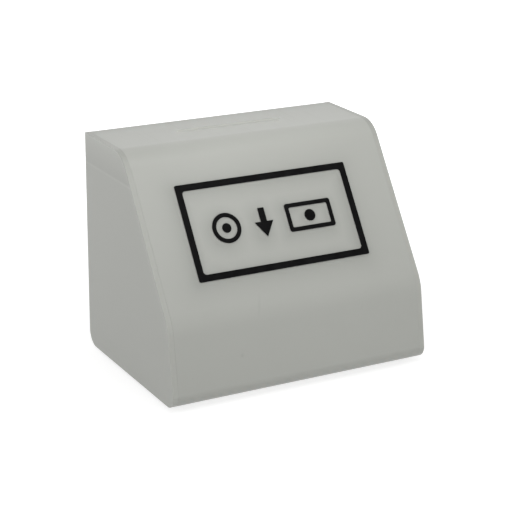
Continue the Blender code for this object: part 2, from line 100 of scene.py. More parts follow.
def rounded_rectangle(centre: Sequence[float], size: Sequence[float], radius: float, steps: int) -> Array:
    """Rectangle with round corners, counter-clockwise: four quarter circles about the inset corners.

    Args:
        centre: Middle of the rectangle.
        size: Its width and its height.
        radius: Radius of the corners.
        steps: Steps of each quarter circle.

    Returns:
        Points, one row each.
    """
    signs = np.array([(1, -1), (1, 1), (-1, 1), (-1, -1)])
    corners = np.asarray(centre) + signs * (np.array(size) / 2 - radius)
    turn = (np.arange(4)[:, None] - 1 + np.linspace(0, 1, steps + 1)) * QUARTER_TURN
    points = np.repeat(corners, steps + 1, axis=0) + polar(radius, turn.ravel())
    runs = np.linalg.norm(points - np.roll(points, 1, axis=0), axis=1)
    return points[runs > radius * COINCIDENT]


def polygon_radius(turn: Array, half_flat: float, sides: int) -> Array:
    """Radius of a regular polygon at each angle: half_flat / cos(angle from the nearest flat's middle)."""
    sector = FULL_TURN / sides
    return half_flat / np.cos((turn + sector / 2) % sector - sector / 2)


def double_d_radius(turn: Array, radius: float, half_flat: float) -> Array:
    """Radius of a circle with two upright flats: min(radius, half_flat / |cos t|)."""
    return np.minimum(radius, half_flat / np.maximum(np.abs(np.cos(turn)), half_flat / radius))


def smooth_step(value: Array) -> Array:
    """Smooth rise from 0 to 1: 3 v^2 - 2 v^3 for v held between 0 and 1."""
    held = np.clip(value, 0, 1)
    return held * held * (3 - 2 * held)


def thread_wave(place: Array, pitch: float) -> Array:
    """Triangular wave from 0 to 1 with the thread's pitch: |2 frac(place / pitch) - 1|."""
    return np.abs(2 * (place / pitch % 1) - 1)


def quarter_round(radius: float, steps: int) -> tuple[Array, Array]:
    """Inset and depth along a rounded edge: radius (1 - cos a) and radius (1 - sin a)."""
    turn = np.linspace(0, QUARTER_TURN, steps + 1)
    return radius * (1 - np.cos(turn)), radius * (1 - np.sin(turn))


def inward(loop: Array, reach: Array | None = None) -> Array:
    """Mitred steps into the material, which lies to the left of a loop.

    With a and b the normals of the edges before and after a corner, and p and q their reaches, the step is
    (a + b) / (1 + a.b) where the reaches are alike, and the point with step.a = p and step.b = q elsewhere.

    Args:
        loop: Corners of the loop.
        reach: Reach of the edge that starts at each corner, or None where all are 1.

    Returns:
        A step for each corner.
    """
    edge = np.roll(loop, -1, axis=0) - loop
    after = np.column_stack([-edge[:, 1], edge[:, 0]]) / np.linalg.norm(edge, axis=1, keepdims=True)
    before = np.roll(after, 1, axis=0)
    steps = (after + before) / (1 + (after * before).sum(axis=1, keepdims=True))
    if reach is None:
        return steps
    steps = steps * reach[:, None]
    earlier = np.roll(reach, 1)
    mixed = np.flatnonzero(reach != earlier)
    sides = np.stack([before[mixed], after[mixed]], axis=1)
    reaches = np.stack([earlier[mixed], reach[mixed]], axis=1)
    steps[mixed] = np.linalg.solve(sides, reaches[..., None])[..., 0]
    return steps


# Skins


@dataclass
class Box:
    """Box of a node in the frame."""

    node: str

    def __post_init__(self) -> None:
        """Reads the box's corners, and works out its middle and its size."""
        self.low, self.high = (np.array(corner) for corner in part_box(self.node))
        self.middle = (self.low + self.high) / 2
        self.size = self.high - self.low


def screw_holes(kind: str, flatten: Placing) -> list[Array]:
    """Clockwise holes for a row of screws, where flatten takes a screw's middle to its place in a sheet."""
    places = [flatten(Box(f"{kind}_screw_{number}").middle) for number in SCREW_NUMBERS]
    return [circle(SCREW_HOLE_RADIUS, SCREW_HOLE_STEPS, place)[::-1] for place in places]


@dataclass(frozen=True)
class Ease:
    """Rounding of a sheet's edges: a quarter circle at its outer face and one at its inner face."""

    outer: float
    inner: float
    steps: int = 3

    def rows(self, thickness: float) -> Array:
        """Rows of an eased edge: insets r (1 - sin a), depths r (1 - cos a) and shares sin a.

        Args:
            thickness: Thickness of the sheet.

        Returns:
            Inset, depth and edge share of each row, from the outer face to the inner.
        """
        angle = np.linspace(0, QUARTER_TURN, self.steps + 1)
        inset = 1 - np.sin(angle)
        depth = 1 - np.cos(angle)
        share = np.sin(angle)
        insets = np.r_[self.outer * inset, self.inner * inset[::-1]]
        depths = np.r_[self.outer * depth, thickness - self.inner * depth[::-1]]
        return np.column_stack([insets, depths, np.r_[share, share[::-1]]])


@dataclass(frozen=True)
class Seat:
    """Flat place that carries a shape: an origin, and the directions of its three local axes."""

    origin: tuple[float, float, float]
    across: tuple[float, float, float] = (1.0, 0.0, 0.0)
    up: tuple[float, float, float] = (0.0, 0.0, 1.0)
    out: tuple[float, float, float] = (0.0, 1.0, 0.0)

    def __call__(self, local: Array) -> Array:
        """World points: origin + u across + v up + w out."""
        return np.asarray(self.origin) + local @ np.array([self.across, self.up, self.out])


@dataclass(frozen=True)
class Wall:
    """Wall of a sheet along a loop: its grid of point numbers, and their places in the flat."""

    numbers: Array
    flat: Array

    def ring(self, row: int, columns: Array | slice = slice(None)) -> tuple[Array, Array]:
        """Numbers of one of its rows, or of a part of it, with their places in the flat."""
        return self.numbers[row, columns], self.flat[row, columns]


class Skin:
    """Closed surface under construction, made of grids of points and of flat caps."""

    def __init__(self) -> None:
        """Starts with no points and no faces."""
        self.points: list[Array] = []
        self.edges: list[Array] = []
        self.glows: list[Array] = []
        self.faces: list[tuple[int, ...]] = []
        self.count = 0

    def add(self, points: Array, edge: Array | float = 0.0, glow: Array | float = 0.0) -> Array:
        """Adds a grid of points.

        Args:
            points: Points, with their three coordinates in the last axis.
            edge: Share of cut edge at each point, from 0 on a face to 1 on an edge.
            glow: Share of painted glow at each point: emission that stands in for light that the sheet lets
                out through a cut edge.

        Returns:
            The points' numbers, in the grid's shape.
        """
        shape = points.shape[:-1]
        self.points.append(points.reshape(-1, 3))
        self.edges.append(np.broadcast_to(edge, shape).reshape(-1))
        self.glows.append(np.broadcast_to(glow, shape).reshape(-1))
        numbers = np.arange(self.count, self.count + len(self.points[-1])).reshape(shape)
        self.count += numbers.size
        return numbers

    def join(self, numbers: Array, around: bool = True, along: bool = False) -> None:
        """Joins neighbouring rows of a grid by quads.

        Args:
            numbers: Point numbers, a row for each ring.
            around: Whether each row closes on itself.
            along: Whether the last row joins the first.
        """
        rows = np.vstack([numbers, numbers[:1]]) if along else numbers
        columns = np.hstack([rows, rows[:, :1]]) if around else rows
        quads = np.stack([columns[:-1, :-1], columns[:-1, 1:], columns[1:, 1:], columns[1:, :-1]], axis=-1)
        self.faces += map(tuple, quads.reshape(-1, 4).tolist())

    def cap(self, outline: Array, flat: Array | None = None, *holes: tuple[Array, Array]) -> None:
        """Closes a flat region inside an outline.

        Args:
            outline: Point numbers of the outline.
            flat: Its places in the flat, where there are holes.
            holes: Point numbers and places of each hole.
        """
        if not holes:
            self.faces.append(tuple(outline.tolist()))
            return
        numbers, places = zip((outline, flat), *holes)
        loops = [[Vector((u, v, 0.0)) for u, v in loop] for loop in places]
        triangles = np.array(tessellate_polygon(loops))
        self.faces += map(tuple, np.concatenate(numbers)[triangles].tolist())

    def wall(
        self, loop: Array, rows: Array, place: Placing, reach: Array | None = None, glow: float = 0.0
    ) -> Wall:
        """Adds the wall along a loop, counter-clockwise round an outline and clockwise round a hole.

        Args:
            loop: Corners of the loop.
            rows: Inset, depth and edge share of each row of the wall.
            place: Takes (u, v, depth) to world points.
            reach: Reach of the edge that starts at each corner, or None where all are 1.
            glow: Share of painted glow at the wall's middle, which falls with the cube of the inset's
                share.

        Returns:
            The wall.
        """
        inset, depth, share = rows.T[:, :, None]
        flat = loop[None] + inset[..., None] * inward(loop, reach)[None]
        local = np.dstack([flat, np.broadcast_to(depth, flat.shape[:2])])
        numbers = self.add(place(local), share, glow * (1 - inset / inset.max()) ** 3)
        self.join(numbers)
        return Wall(numbers, flat)

    def rings(
        self,
        seat: Seat,
        place: Sequence[Array | float],
        radius: Sequence[Array | float],
        steps: int,
        edge: Sequence[float] = (0.0,),
        bored: bool = False,
        capped: bool = False,
    ) -> Array:
        """Adds rings (r cos t, r sin t, w) round a seat's third direction, where r and w may change with t.

        Args:
            seat: Place of the axis.
            place: Place w of each ring, one value or one for each point.
            radius: Radius r of each ring, one value or one for each point.
            steps: Points of each ring.
            edge: Share of worn edge of each ring, or one share for all.
            bored: Whether the last ring joins the first.
            capped: Whether flat caps close both ends.

        Returns:
            The rings' grid of point numbers.
        """
        turn = ring_turn(steps)
        places = np.array([np.broadcast_to(row, steps) for row in place])
        radii = np.array([np.broadcast_to(row, steps) for row in radius])
        local = np.stack([radii * np.cos(turn), radii * np.sin(turn), places], axis=-1)
        numbers = self.add(seat(local), np.reshape(edge, (-1, 1)))
        self.join(numbers, along=bored)
        if capped:
            self.cap(numbers[0])
            self.cap(numbers[-1])
        return numbers

    def finish(self, name: str) -> bpy.types.Object:
        """Turns the skin into a mesh object, with its faces outwards and smooth between sharp edges.

        Args:
            name: Name of the object and its mesh.

        Returns:
            The object, with its cut edges and their painted glow as attributes.
        """
        mesh = bpy.data.meshes.new(name)
        mesh.from_pydata(np.concatenate(self.points).tolist(), [], self.faces)
        for label, values in ((EDGE_ATTRIBUTE, self.edges), (PAINTED_GLOW_ATTRIBUTE, self.glows)):
            attribute = mesh.attributes.new(label, "FLOAT", "POINT")
            attribute.data.foreach_set("value", np.concatenate(values).astype(np.float32))
        shape = bmesh.new()
        shape.from_mesh(mesh)
        bmesh.ops.recalc_face_normals(shape, faces=shape.faces)
        shape.to_mesh(mesh)
        shape.free()
        mesh.shade_smooth()
        mesh.set_sharp_from_angle(angle=SHARP_ANGLE)
        piece = bpy.data.objects.new(name, mesh)
        bpy.context.scene.collection.objects.link(piece)
        piece.modifiers.new("even_faces", "WEIGHTED_NORMAL").keep_sharp = True
        return piece


def flat_sheet(loops: Sequence[Array], thickness: float, ease: Ease, place: Placing) -> Skin:
    """Flat sheet with eased edges: a wall along each loop, and a cap on each face.

    Args:
        loops: Outline, and then the holes.
        thickness: Thickness of the sheet.
        ease: Rounding of its edges.
        place: Takes (u, v, depth) to world points.

    Returns:
        The sheet's skin.
    """
    skin = Skin()
    outline, *holes = [skin.wall(loop, ease.rows(thickness), place) for loop in loops]
    for row in (0, -1):
        skin.cap(*outline.ring(row), *(hole.ring(row) for hole in holes))
    return skin


@dataclass(frozen=True)
class BendLine:
    """Line that a bent sheet's outer face follows in its side view, with the direction out of the sheet."""

    points: Array
    outward: Array

    @property
    def lengths(self) -> Array:
        """Length along the line up to each point, as the sheet's flat pattern has it."""
        runs = np.linalg.norm(np.diff(self.points, axis=0), axis=1)
        return np.r_[0.0, np.cumsum(runs)]

    def bend(self, local: Array) -> Array:
        """World points of a sheet's (across, along, depth): line(along) - depth outward(along).

        Args:
            local: Points as (across, along, depth), in the last axis.

        Returns:
            The points, in the same grid.
        """
        across, along, depth = np.moveaxis(local, -1, 0)
        line, out = (
            [np.interp(along, self.lengths, values[:, axis]) for axis in (0, 1)]
            for values in (self.points, self.outward)
        )
        return np.stack([across, line[0] - depth * out[0], line[1] - depth * out[1]], axis=-1)


def fillet(before: Array, corner: Array, after: Array, radius: float, steps: int) -> BendLine:
    """Arc that rounds a corner between two straight runs.

    The centre lies on the corner's bisector, radius / sin(half the angle between the runs) from it, and the
    arc turns from one run's normal to the other's.

    Args:
        before: Point on the run that comes in.
        corner: Where the two runs meet.
        after: Point on the run that goes out.
        radius: Radius of the arc.
        steps: Steps of the arc.

    Returns:
        The arc, with its outward directions.
    """
    back = (before - corner) / np.linalg.norm(before - corner)
    ahead = (after - corner) / np.linalg.norm(after - corner)
    half = np.arccos(np.clip(back @ ahead, -1, 1)) / 2
    bisector = (back + ahead) / np.linalg.norm(back + ahead)
    centre = corner + bisector * radius / np.sin(half)
    first = (corner + back * radius / np.tan(half) - centre) / radius
    side = np.sign(back[0] * ahead[1] - back[1] * ahead[0])
    turn = -side * np.linspace(0, np.pi - 2 * half, steps + 1)
    outward = first[0] * polar(1.0, turn) + first[1] * polar(1.0, turn + QUARTER_TURN)
    return BendLine(centre + radius * outward, outward)


# Shader nodes


class Value:
    """Output of a shader node, with arithmetic that adds Math nodes."""

    def __init__(self, shading: "Shading", socket: bpy.types.NodeSocket) -> None:
        """Takes the tree's shading and the output's socket."""
        self.shading = shading
        self.socket = socket

    def other(self, output: int | str) -> "Value":
        """Another output of the same node."""
        return Value(self.shading, self.socket.node.outputs[output])

    def math(self, operation: str, *others: "Value | float") -> "Value":
        """Result of a Math node on this value and others."""
        return self.shading.add("ShaderNodeMath", dict(enumerate((self, *others))), operation=operation)

    def __add__(self, other: "Value | float") -> "Value":
        """Sum of two values."""
        return self.math("ADD", other)

    def __sub__(self, other: "Value | float") -> "Value":
        """Difference of two values."""
        return self.math("SUBTRACT", other)

    def __mul__(self, other: "Value | float") -> "Value":
        """Product of two values."""
        return self.math("MULTIPLY", other)

    __rmul__ = __mul__

    def smaller(self, other: "Value | float") -> "Value":
        """Smaller of two values."""
        return self.math("MINIMUM", other)

    def larger(self, other: "Value | float") -> "Value":
        """Larger of two values."""
        return self.math("MAXIMUM", other)

    def fade(self, length: float) -> "Value":
        """Fall from 1 at 0: exp(-max(value, 0) / length)."""
        return (self.larger(0.0) * (-1 / length)).math("EXPONENT")

    def carry(self, span: Sequence["Value | float"], to: Sequence["Value | float"] = (0.0, 1.0)) -> "Value":
        """Value carried from one range to another, and held at the ends."""
        labels = ("Value", "From Min", "From Max", "To Min", "To Max")
        return self.shading.add("ShaderNodeMapRange", dict(zip(labels, (self, *span, *to))))


class Shading:
    """Node tree with short ways to add and join its nodes."""

    def __init__(self, tree: bpy.types.NodeTree) -> None:
        """Takes the tree to build in."""
        self.tree = tree

    def set(self, socket: bpy.types.NodeSocket, value: object) -> None:
        """Gives an input its value, or joins it to another node's output.

        Args:
            socket: The input.
            value: A plain value, or the Value to join.
        """
        if isinstance(value, Value):
            self.tree.links.new(value.socket, socket)
        else:
            socket.default_value = value

    def add(self, kind: str, inputs: dict | None = None, output: object = 0, **settings: object) -> Value:
        """Adds a node.

        Args:
            kind: Blender's name of the node type.
            inputs: What goes into the node, by input name or number.
            output: Name or number of the output that is wanted.
            settings: Attributes of the node.

        Returns:
            The output.
        """
        node = self.tree.nodes.new(kind)
        for name, setting in settings.items():
            setattr(node, name, setting)
        for name, value in (inputs or {}).items():
            self.set(node.inputs[name], value)
        return Value(self, node.outputs[output])

    def vector(self, operation: str, *values: object) -> Value:
        """Result of a Vector Math node."""
        return self.add("ShaderNodeVectorMath", dict(enumerate(values)), operation=operation)

    def dot(self, first: object, second: object) -> Value:
        """Dot product of two vectors."""
        return self.vector("DOT_PRODUCT", first, second).other("Value")

    def tint(self, mask: object, first: object, second: object, blend: str = "MIX") -> Value:
        """Colour between two by a mask: 6 and 7 are the node's colour inputs, and 2 its colour output."""
        inputs = {0: mask, 6: first, 7: second}
        return self.add("ShaderNodeMix", inputs, 2, data_type="RGBA", blend_type=blend)


class Group(Shading):
    """Shader node group with a vector input, float inputs and one float output."""

    def __init__(self, name: str, *inputs: str) -> None:
        """Starts a group.

        Args:
            name: Name of the group.
            inputs: Names of its float inputs.
        """
        super().__init__(bpy.data.node_groups.new(name, "ShaderNodeTree"))
        self.tree.interface.new_socket("Vector", in_out="INPUT", socket_type="NodeSocketVector")
        for label in inputs:
            self.tree.interface.new_socket(label, in_out="INPUT", socket_type="NodeSocketFloat")
        source = self.tree.nodes.new("NodeGroupInput")
        self.given = {socket.name: Value(self, socket) for socket in source.outputs if socket.name}

    def give(self, label: str, value: Value) -> bpy.types.NodeTree:
        """Ends the group.

        Args:
            label: Name of its output.
            value: What it gives.

        Returns:
            The group's tree.
        """
        self.tree.interface.new_socket(label, in_out="OUTPUT", socket_type="NodeSocketFloat")
        self.set(self.tree.nodes.new("NodeGroupOutput").inputs[label], value)
        return self.tree


def mottle_group() -> bpy.types.NodeTree:
    """Slow cloudy change: 1 + 2 Amount (noise - 1/2)."""
    group = Group("mottle", "Scale", "Amount")
    inputs = {"Vector": group.given["Vector"], "Scale": group.given["Scale"], "Detail": 3.0}
    noise = group.add("ShaderNodeTexNoise", inputs, "Fac")
    return group.give("Factor", (noise - 0.5) * 2.0 * group.given["Amount"] + 1.0)


def hairline_group() -> bpy.types.NodeTree:
    """Fine handling scratches: the crests of noise that is drawn out along three directions."""
    group = Group("hairlines", "Scale", "Amount")
    crests = []
    for turn, stretch in ((0.35, 0.012), (-0.9, 0.02), (1.4, 0.016)):
        rotation = (turn, turn * 0.7, turn)
        inputs = {"Vector": group.given["Vector"], "Rotation": rotation, "Scale": (1.0, stretch, stretch)}
        drawn = group.add("ShaderNodeMapping", inputs)
        inputs = {"Vector": drawn, "Scale": group.given["Scale"], "Detail": 1.0}
        crests.append(group.add("ShaderNodeTexNoise", inputs, "Fac").carry((0.7, 0.78)))
    return group.give("Mask", reduce(Value.larger, crests) * group.given["Amount"])


def speck_group() -> bpy.types.NodeTree:
    """Sparse specks of dust: the middles of the Voronoi cells whose random value is below a share."""
    group = Group("specks", "Scale", "Share", "Size")
    inputs = {"Vector": group.given["Vector"], "Scale": group.given["Scale"]}
    distance = group.add("ShaderNodeTexVoronoi", inputs, "Distance")
    pick = group.add("ShaderNodeSeparateColor", {"Color": distance.other("Color")})
    chosen = pick.math("LESS_THAN", group.given["Share"])
    return group.give("Mask", chosen * distance.carry((0.0, group.given["Size"]), (1.0, 0.0)))


def brushed_group() -> bpy.types.NodeTree:
    """Brushed grain: noise drawn out along X."""
    group = Group("brushed_grain", "Scale", "Stretch")
    stretch = group.add("ShaderNodeCombineXYZ", {"X": group.given["Stretch"], "Y": 1.0, "Z": 1.0})
    drawn = group.vector("MULTIPLY", group.given["Vector"], stretch)
    inputs = {"Vector": drawn, "Scale": group.given["Scale"], "Detail": 2.0}
    return group.give("Grain", group.add("ShaderNodeTexNoise", inputs, "Fac"))


def distance_group() -> bpy.types.NodeTree:
    """Distance to a round-cornered rectangle's outline, less half its stroke.

    With q = |p - centre| - half, it is | |max(q, 0)| + min(max(qx, qy), 0) - rounding | - half stroke.
    """
    group = Group("print_distance", "Centre_X", "Centre_Y", "Half_X", "Half_Y", "Rounding", "Half_Stroke")
    place = group.add("ShaderNodeSeparateXYZ", {"Vector": group.given["Vector"]})
    beyond = [
        (place.other(axis) - group.given[f"Centre_{axis}"]).math("ABSOLUTE") - group.given[f"Half_{axis}"]
        for axis in ("X", "Y")
    ]
    outside = [value.larger(0.0) for value in beyond]
    square = outside[0] * outside[0] + outside[1] * outside[1]
    signed = square.math("SQRT") + beyond[0].larger(beyond[1]).smaller(0.0) - group.given["Rounding"]
    return group.give("Distance", signed.math("ABSOLUTE") - group.given["Half_Stroke"])


@dataclass(frozen=True)
class Effects:
    """Node groups that are used more than once."""

    mottle: bpy.types.NodeTree = field(default_factory=mottle_group)
    hairlines: bpy.types.NodeTree = field(default_factory=hairline_group)
    specks: bpy.types.NodeTree = field(default_factory=speck_group)
    brushed: bpy.types.NodeTree = field(default_factory=brushed_group)
    print_distance: bpy.types.NodeTree = field(default_factory=distance_group)


class Surface(Shading):
    """Material under construction, with its shader and the piece's own coordinates."""

    def __init__(self, name: str, effects: Effects) -> None:
        """Starts a material.

        Args:
            name: Name of the material.
            effects: Shared node groups.
        """
        self.material = bpy.data.materials.new(name)
        self.material.use_nodes = True
        super().__init__(self.material.node_tree)
        self.effects = effects
        self.coordinates = self.add("ShaderNodeTexCoord", output="Object")

    def feed(self, **inputs: object) -> None:
        """Sets or joins inputs of the shader, with _ for a space in their names."""
        for label, value in inputs.items():
            self.set(self.tree.nodes["Principled BSDF"].inputs[label.replace("_", " ")], value)

    def effect(self, group: bpy.types.NodeTree, **values: float | Value) -> Value:
        """Output of a shared group with this finish's values, at the piece's coordinates unless told."""
        return self.add("ShaderNodeGroup", {"Vector": self.coordinates, **values}, node_tree=group)

    def attribute(self, name: str) -> Value:
        """Value of one of the piece's own attributes."""
        return self.add("ShaderNodeAttribute", output="Fac", attribute_name=name)

    def bump(self, height: Value, distance: float, strength: float) -> None:
        """Fine relief from a height."""
        inputs = {"Height": height, "Distance": distance, "Strength": strength}
        self.feed(Normal=self.add("ShaderNodeBump", inputs, "Normal"))


# Finishes


def colour(red: float, green: float, blue: float) -> Colour:
    """Opaque colour from its linear parts."""
    return (red, green, blue, 1.0)


class Shade(Protocol):
    """Change of the opal sheet's tone from place to place: painted light and shade, or a scuff."""

    def tone(self, surface: Surface) -> Value:
        """Factor on the sheet's tone.

        Args:
            surface: Material under construction.

        Returns:
            The factor.
        """


@dataclass(frozen=True)
class PaintedShadeRamp:
    """Painted light and shade along an axis, from an edge to a far side.

    It stands in for the light that something glued behind the milky sheet holds back, and for shade on cut
    edges. The tone jumps to the first value at the edge and runs to the second at the far side. A thin
    painted highlight, the light that the bead of cement catches, can lie just outside the edge.
    """

    axis: str
    edge: float
    far: float
    tones: tuple[float, float]
    softness: float = 0.0012
    bead: float = 0.0
    bead_width: float = 0.0015

    def tone(self, surface: Surface) -> Value:
        """Factor of painted light and shade on the sheet's tone: 1 + step (tone - 1) + bead highlight.

        Args:
            surface: Material under construction.

        Returns:
            The factor.
        """
        place = surface.add("ShaderNodeSeparateXYZ", {"Vector": surface.coordinates}, self.axis)
        step = place.carry((self.edge - self.softness / 2, self.edge + self.softness / 2))
        change = place.carry((self.edge, self.far), [tone - 1.0 for tone in self.tones])
        factor = step * change + 1.0
        if self.bead == 0.0:
            return factor
        # Painted highlight along the cement bead, just outside the edge.
        off = (place - (self.edge - self.bead_width / 2)).math("ABSOLUTE")
        return factor + off.carry((0.0, self.bead_width), (self.bead, 0.0))


@dataclass(frozen=True)
class EdgeLight:
    """Light that leaks through a milky sheet beside the outer faces that it meets, given by their seats."""

    seats: tuple[Seat, ...]
    gain: float = 0.065
    fade: float = 0.0045

    def tone(self, surface: Surface) -> Value:
        """Factor on the sheet's tone: 1 + gain exp(-distance to the nearest face / fade).

        Args:
            surface: Material under construction.

        Returns:
            The factor.
        """
        depths = []
        for seat in self.seats:
            moved = surface.vector("SUBTRACT", surface.coordinates, seat.origin)
            depths.append(surface.dot(moved, [-part for part in seat.out]))
        return reduce(Value.smaller, depths).fade(self.fade) * self.gain + 1.0


@dataclass(frozen=True)
class Scuff:
    """Faint rubbed mark on the front, soft-edged: its middle, its two half sizes, and its lean."""

    middle: tuple[float, float, float]
    half_size: tuple[float, float]
    lean: float
    depth: float

    def tone(self, surface: Surface) -> Value:
        """Factor on the sheet's tone: 1 - depth exp(-(x / a)^2 - (z / b)^2), from the mark's own middle.

        Args:
            surface: Material under construction.

        Returns:
            The factor.
        """
        moved = surface.vector("SUBTRACT", surface.coordinates, self.middle)
        turn = {"Vector": moved, "Angle": self.lean}
        turned = surface.add("ShaderNodeVectorRotate", turn, rotation_type="Y_AXIS")
        scaled = surface.vector("MULTIPLY", turned, (1 / self.half_size[0], 0.0, 1 / self.half_size[1]))
        return surface.dot(scaled, scaled).fade(1.0) * -self.depth + 1.0


@dataclass(frozen=True)
class PrintedShape:
    """Round-cornered shape of a print, or a stroke along its outline, in the slope's own plane."""

    centre: Sequence[float]
    half_size: tuple[float, float]
    rounding: float
    half_stroke: float


@dataclass(frozen=True)
class PrintShade:
    """Soft shade that a dark print leaves in the milky sheet under and beside it."""

    seat: Seat
    shapes: tuple[PrintedShape, ...]
    shift: tuple[float, float] = (-0.0026, -0.0022)
    fade: float = 0.0078
    depth: float = 0.168

    def tone(self, surface: Surface) -> Value:
        """Factor on the sheet's tone: 1 - depth exp(-distance / fade).

        Args:
            surface: Material under construction.

        Returns:
            The factor.
        """
        moved = surface.vector("SUBTRACT", surface.coordinates, self.seat.origin)
        places = {"X": surface.dot(moved, self.seat.across), "Y": surface.dot(moved, self.seat.up)}
        flat = surface.add("ShaderNodeCombineXYZ", places)
        distances = [
            surface.effect(
                surface.effects.print_distance,
                Vector=flat,
                Centre_X=shape.centre[0] + self.shift[0],
                Centre_Y=shape.centre[1] + self.shift[1],
                Half_X=shape.half_size[0],
                Half_Y=shape.half_size[1],
                Rounding=shape.rounding,
                Half_Stroke=shape.half_stroke,
            )
            for shape in self.shapes
        ]
        return reduce(Value.smaller, distances).fade(self.fade) * -self.depth + 1.0


@dataclass(frozen=True)
class Finish:
    """Finish of a piece: the name of its material, and how that is built."""

    name: str

    def material(self, effects: Effects) -> bpy.types.Material:
        """Builds the material.

        Args:
            effects: Shared node groups.

        Returns:
            The material.
        """
        surface = Surface(self.name, effects)
        self.paint(surface)
        return surface.material

    def paint(self, surface: Surface) -> None:
        """Sets up the shader of a material under construction."""
        raise NotImplementedError


@dataclass(frozen=True)
class OpalFinish(Finish):
    """Milky sheet with soft gloss: cloudy tone, hairlines, specks, painted light and shade, and cut edges
    made lighter by a painted glow.
    """

    name: str = "opal_sheet"
    face_shades: tuple[Shade, ...] = ()
    edge_shades: tuple[Shade, ...] = ()
    body: Colour = colour(0.454, 0.462, 0.431)
    cut: Colour = colour(0.455, 0.462, 0.43)
    painted_glow_colour: Colour = colour(0.2, 0.203, 0.19)
    speck_tone: float = 0.93
    roughness: float = 0.3
    roughness_spread: float = 0.03
    hairline_roughness: float = 0.12
    wave_height: float = 0.06
    hairline_depth: float = 0.004
    relief: float = 0.001
    relief_strength: float = 0.35

    def paint(self, surface: Surface) -> None:
        """Sets up the shader.

        Args:
            surface: Material under construction.
        """
        effects = surface.effects
        surface.feed(Subsurface_Weight=0.12, Subsurface_Scale=0.002, Subsurface_Radius=(1.0, 1.0, 1.0))
        surface.feed(Specular_IOR_Level=0.2, IOR=1.49, Emission_Strength=1.0)
        cloud = surface.effect(effects.mottle, Scale=16.0, Amount=0.014)
        grain = surface.effect(effects.mottle, Scale=420.0, Amount=0.006)
        specks = surface.effect(effects.specks, Scale=260.0, Share=0.03, Size=0.16)
        edge = surface.attribute(EDGE_ATTRIBUTE)
        # Painted light and shade: the shades' tones on the faces and on the cut edges.
        tones = [
            reduce(mul, [shade.tone(surface) for shade in shades], 1.0)
            for shades in (self.face_shades, self.edge_shades)
        ]
        tone = cloud * grain * edge.carry((0.0, 1.0), tones)
        tone = tone * specks.carry((0.0, 1.0), (1.0, self.speck_tone))
        grey = surface.add("ShaderNodeCombineColor", {"Red": tone, "Green": tone, "Blue": tone})
        base = surface.tint(edge, self.body, self.cut)
        # Painted glow: emission on the cut edges that the attribute marks, standing in for light that the
        # milky sheet lets out there.
        glow = surface.attribute(PAINTED_GLOW_ATTRIBUTE)
        hairlines = surface.effect(effects.hairlines, Scale=700.0, Amount=1.0)
        spread = (self.roughness - self.roughness_spread, self.roughness + self.roughness_spread)
        surface.feed(
            Base_Color=surface.tint(1.0, base, grey, "MULTIPLY"),
            Emission_Color=surface.tint(glow, colour(0.0, 0.0, 0.0), self.painted_glow_colour),
            Roughness=cloud.carry((0.98, 1.02), spread) + hairlines * self.hairline_roughness,
        )
        waves = surface.effect(effects.mottle, Scale=38.0, Amount=0.5)
        height = waves * self.wave_height - hairlines * self.hairline_depth
        surface.bump(height, self.relief, self.relief_strength)


@dataclass(frozen=True)
class FilmFinish(Finish):
    """Black print: nearly matt, a little uneven in tone and sheen."""

    name: str = "black_film"
    ink: Colour = colour(0.003, 0.003, 0.0032)
    worn: Colour = colour(0.0075, 0.0075, 0.0077)
    roughness: tuple[float, float] = (0.42, 0.56)
    relief: float = 0.00005

    def paint(self, surface: Surface) -> None:
        """Sets up the shader.

        Args:
            surface: Material under construction.
        """
        effects = surface.effects
        surface.feed(Specular_IOR_Level=0.045, IOR=1.45)
        cloud = surface.effect(effects.mottle, Scale=140.0, Amount=1.0)
        specks = surface.effect(effects.specks, Scale=900.0, Share=0.05, Size=0.3)
        wear = cloud.carry((0.7, 1.6)).larger(specks)
        rough = cloud.carry((0.5, 1.5), self.roughness)
        surface.feed(Base_Color=surface.tint(wear, self.ink, self.worn), Roughness=rough)
        surface.bump(cloud, self.relief, 0.2)


@dataclass(frozen=True)
class SteelFinish(Finish):
    """Plain steel: brushed, turned or plated, with hairlines and brighter worn edges."""

    metal: Colour = colour(0.56, 0.55, 0.53)
    dull: Colour = colour(0.42, 0.41, 0.4)
    roughness: float = 0.32
    roughness_spread: float = 0.1
    grain_scale: float = 2600.0
    grain_stretch: float = 0.012
    relief: float = 0.00002
    edge_wear: float = 0.5

    def paint(self, surface: Surface) -> None:
        """Sets up the shader.

        Args:
            surface: Material under construction.
        """
        effects = surface.effects
        surface.feed(Metallic=1.0)
        grain = surface.effect(effects.brushed, Scale=self.grain_scale, Stretch=self.grain_stretch)
        cloud = surface.effect(effects.mottle, Scale=90.0, Amount=0.5)
        hairlines = surface.effect(effects.hairlines, Scale=1400.0, Amount=0.1)
        bright = grain.carry((0.35, 0.65)).larger(surface.attribute(EDGE_ATTRIBUTE) * self.edge_wear)
        spread = (self.roughness + self.roughness_spread, self.roughness - self.roughness_spread)
        surface.feed(
            Base_Color=surface.tint(bright, self.dull, self.metal),
            Roughness=(grain * cloud).carry((0.2, 0.8), spread) + hairlines,
        )
        surface.bump(grain, self.relief, 0.5)


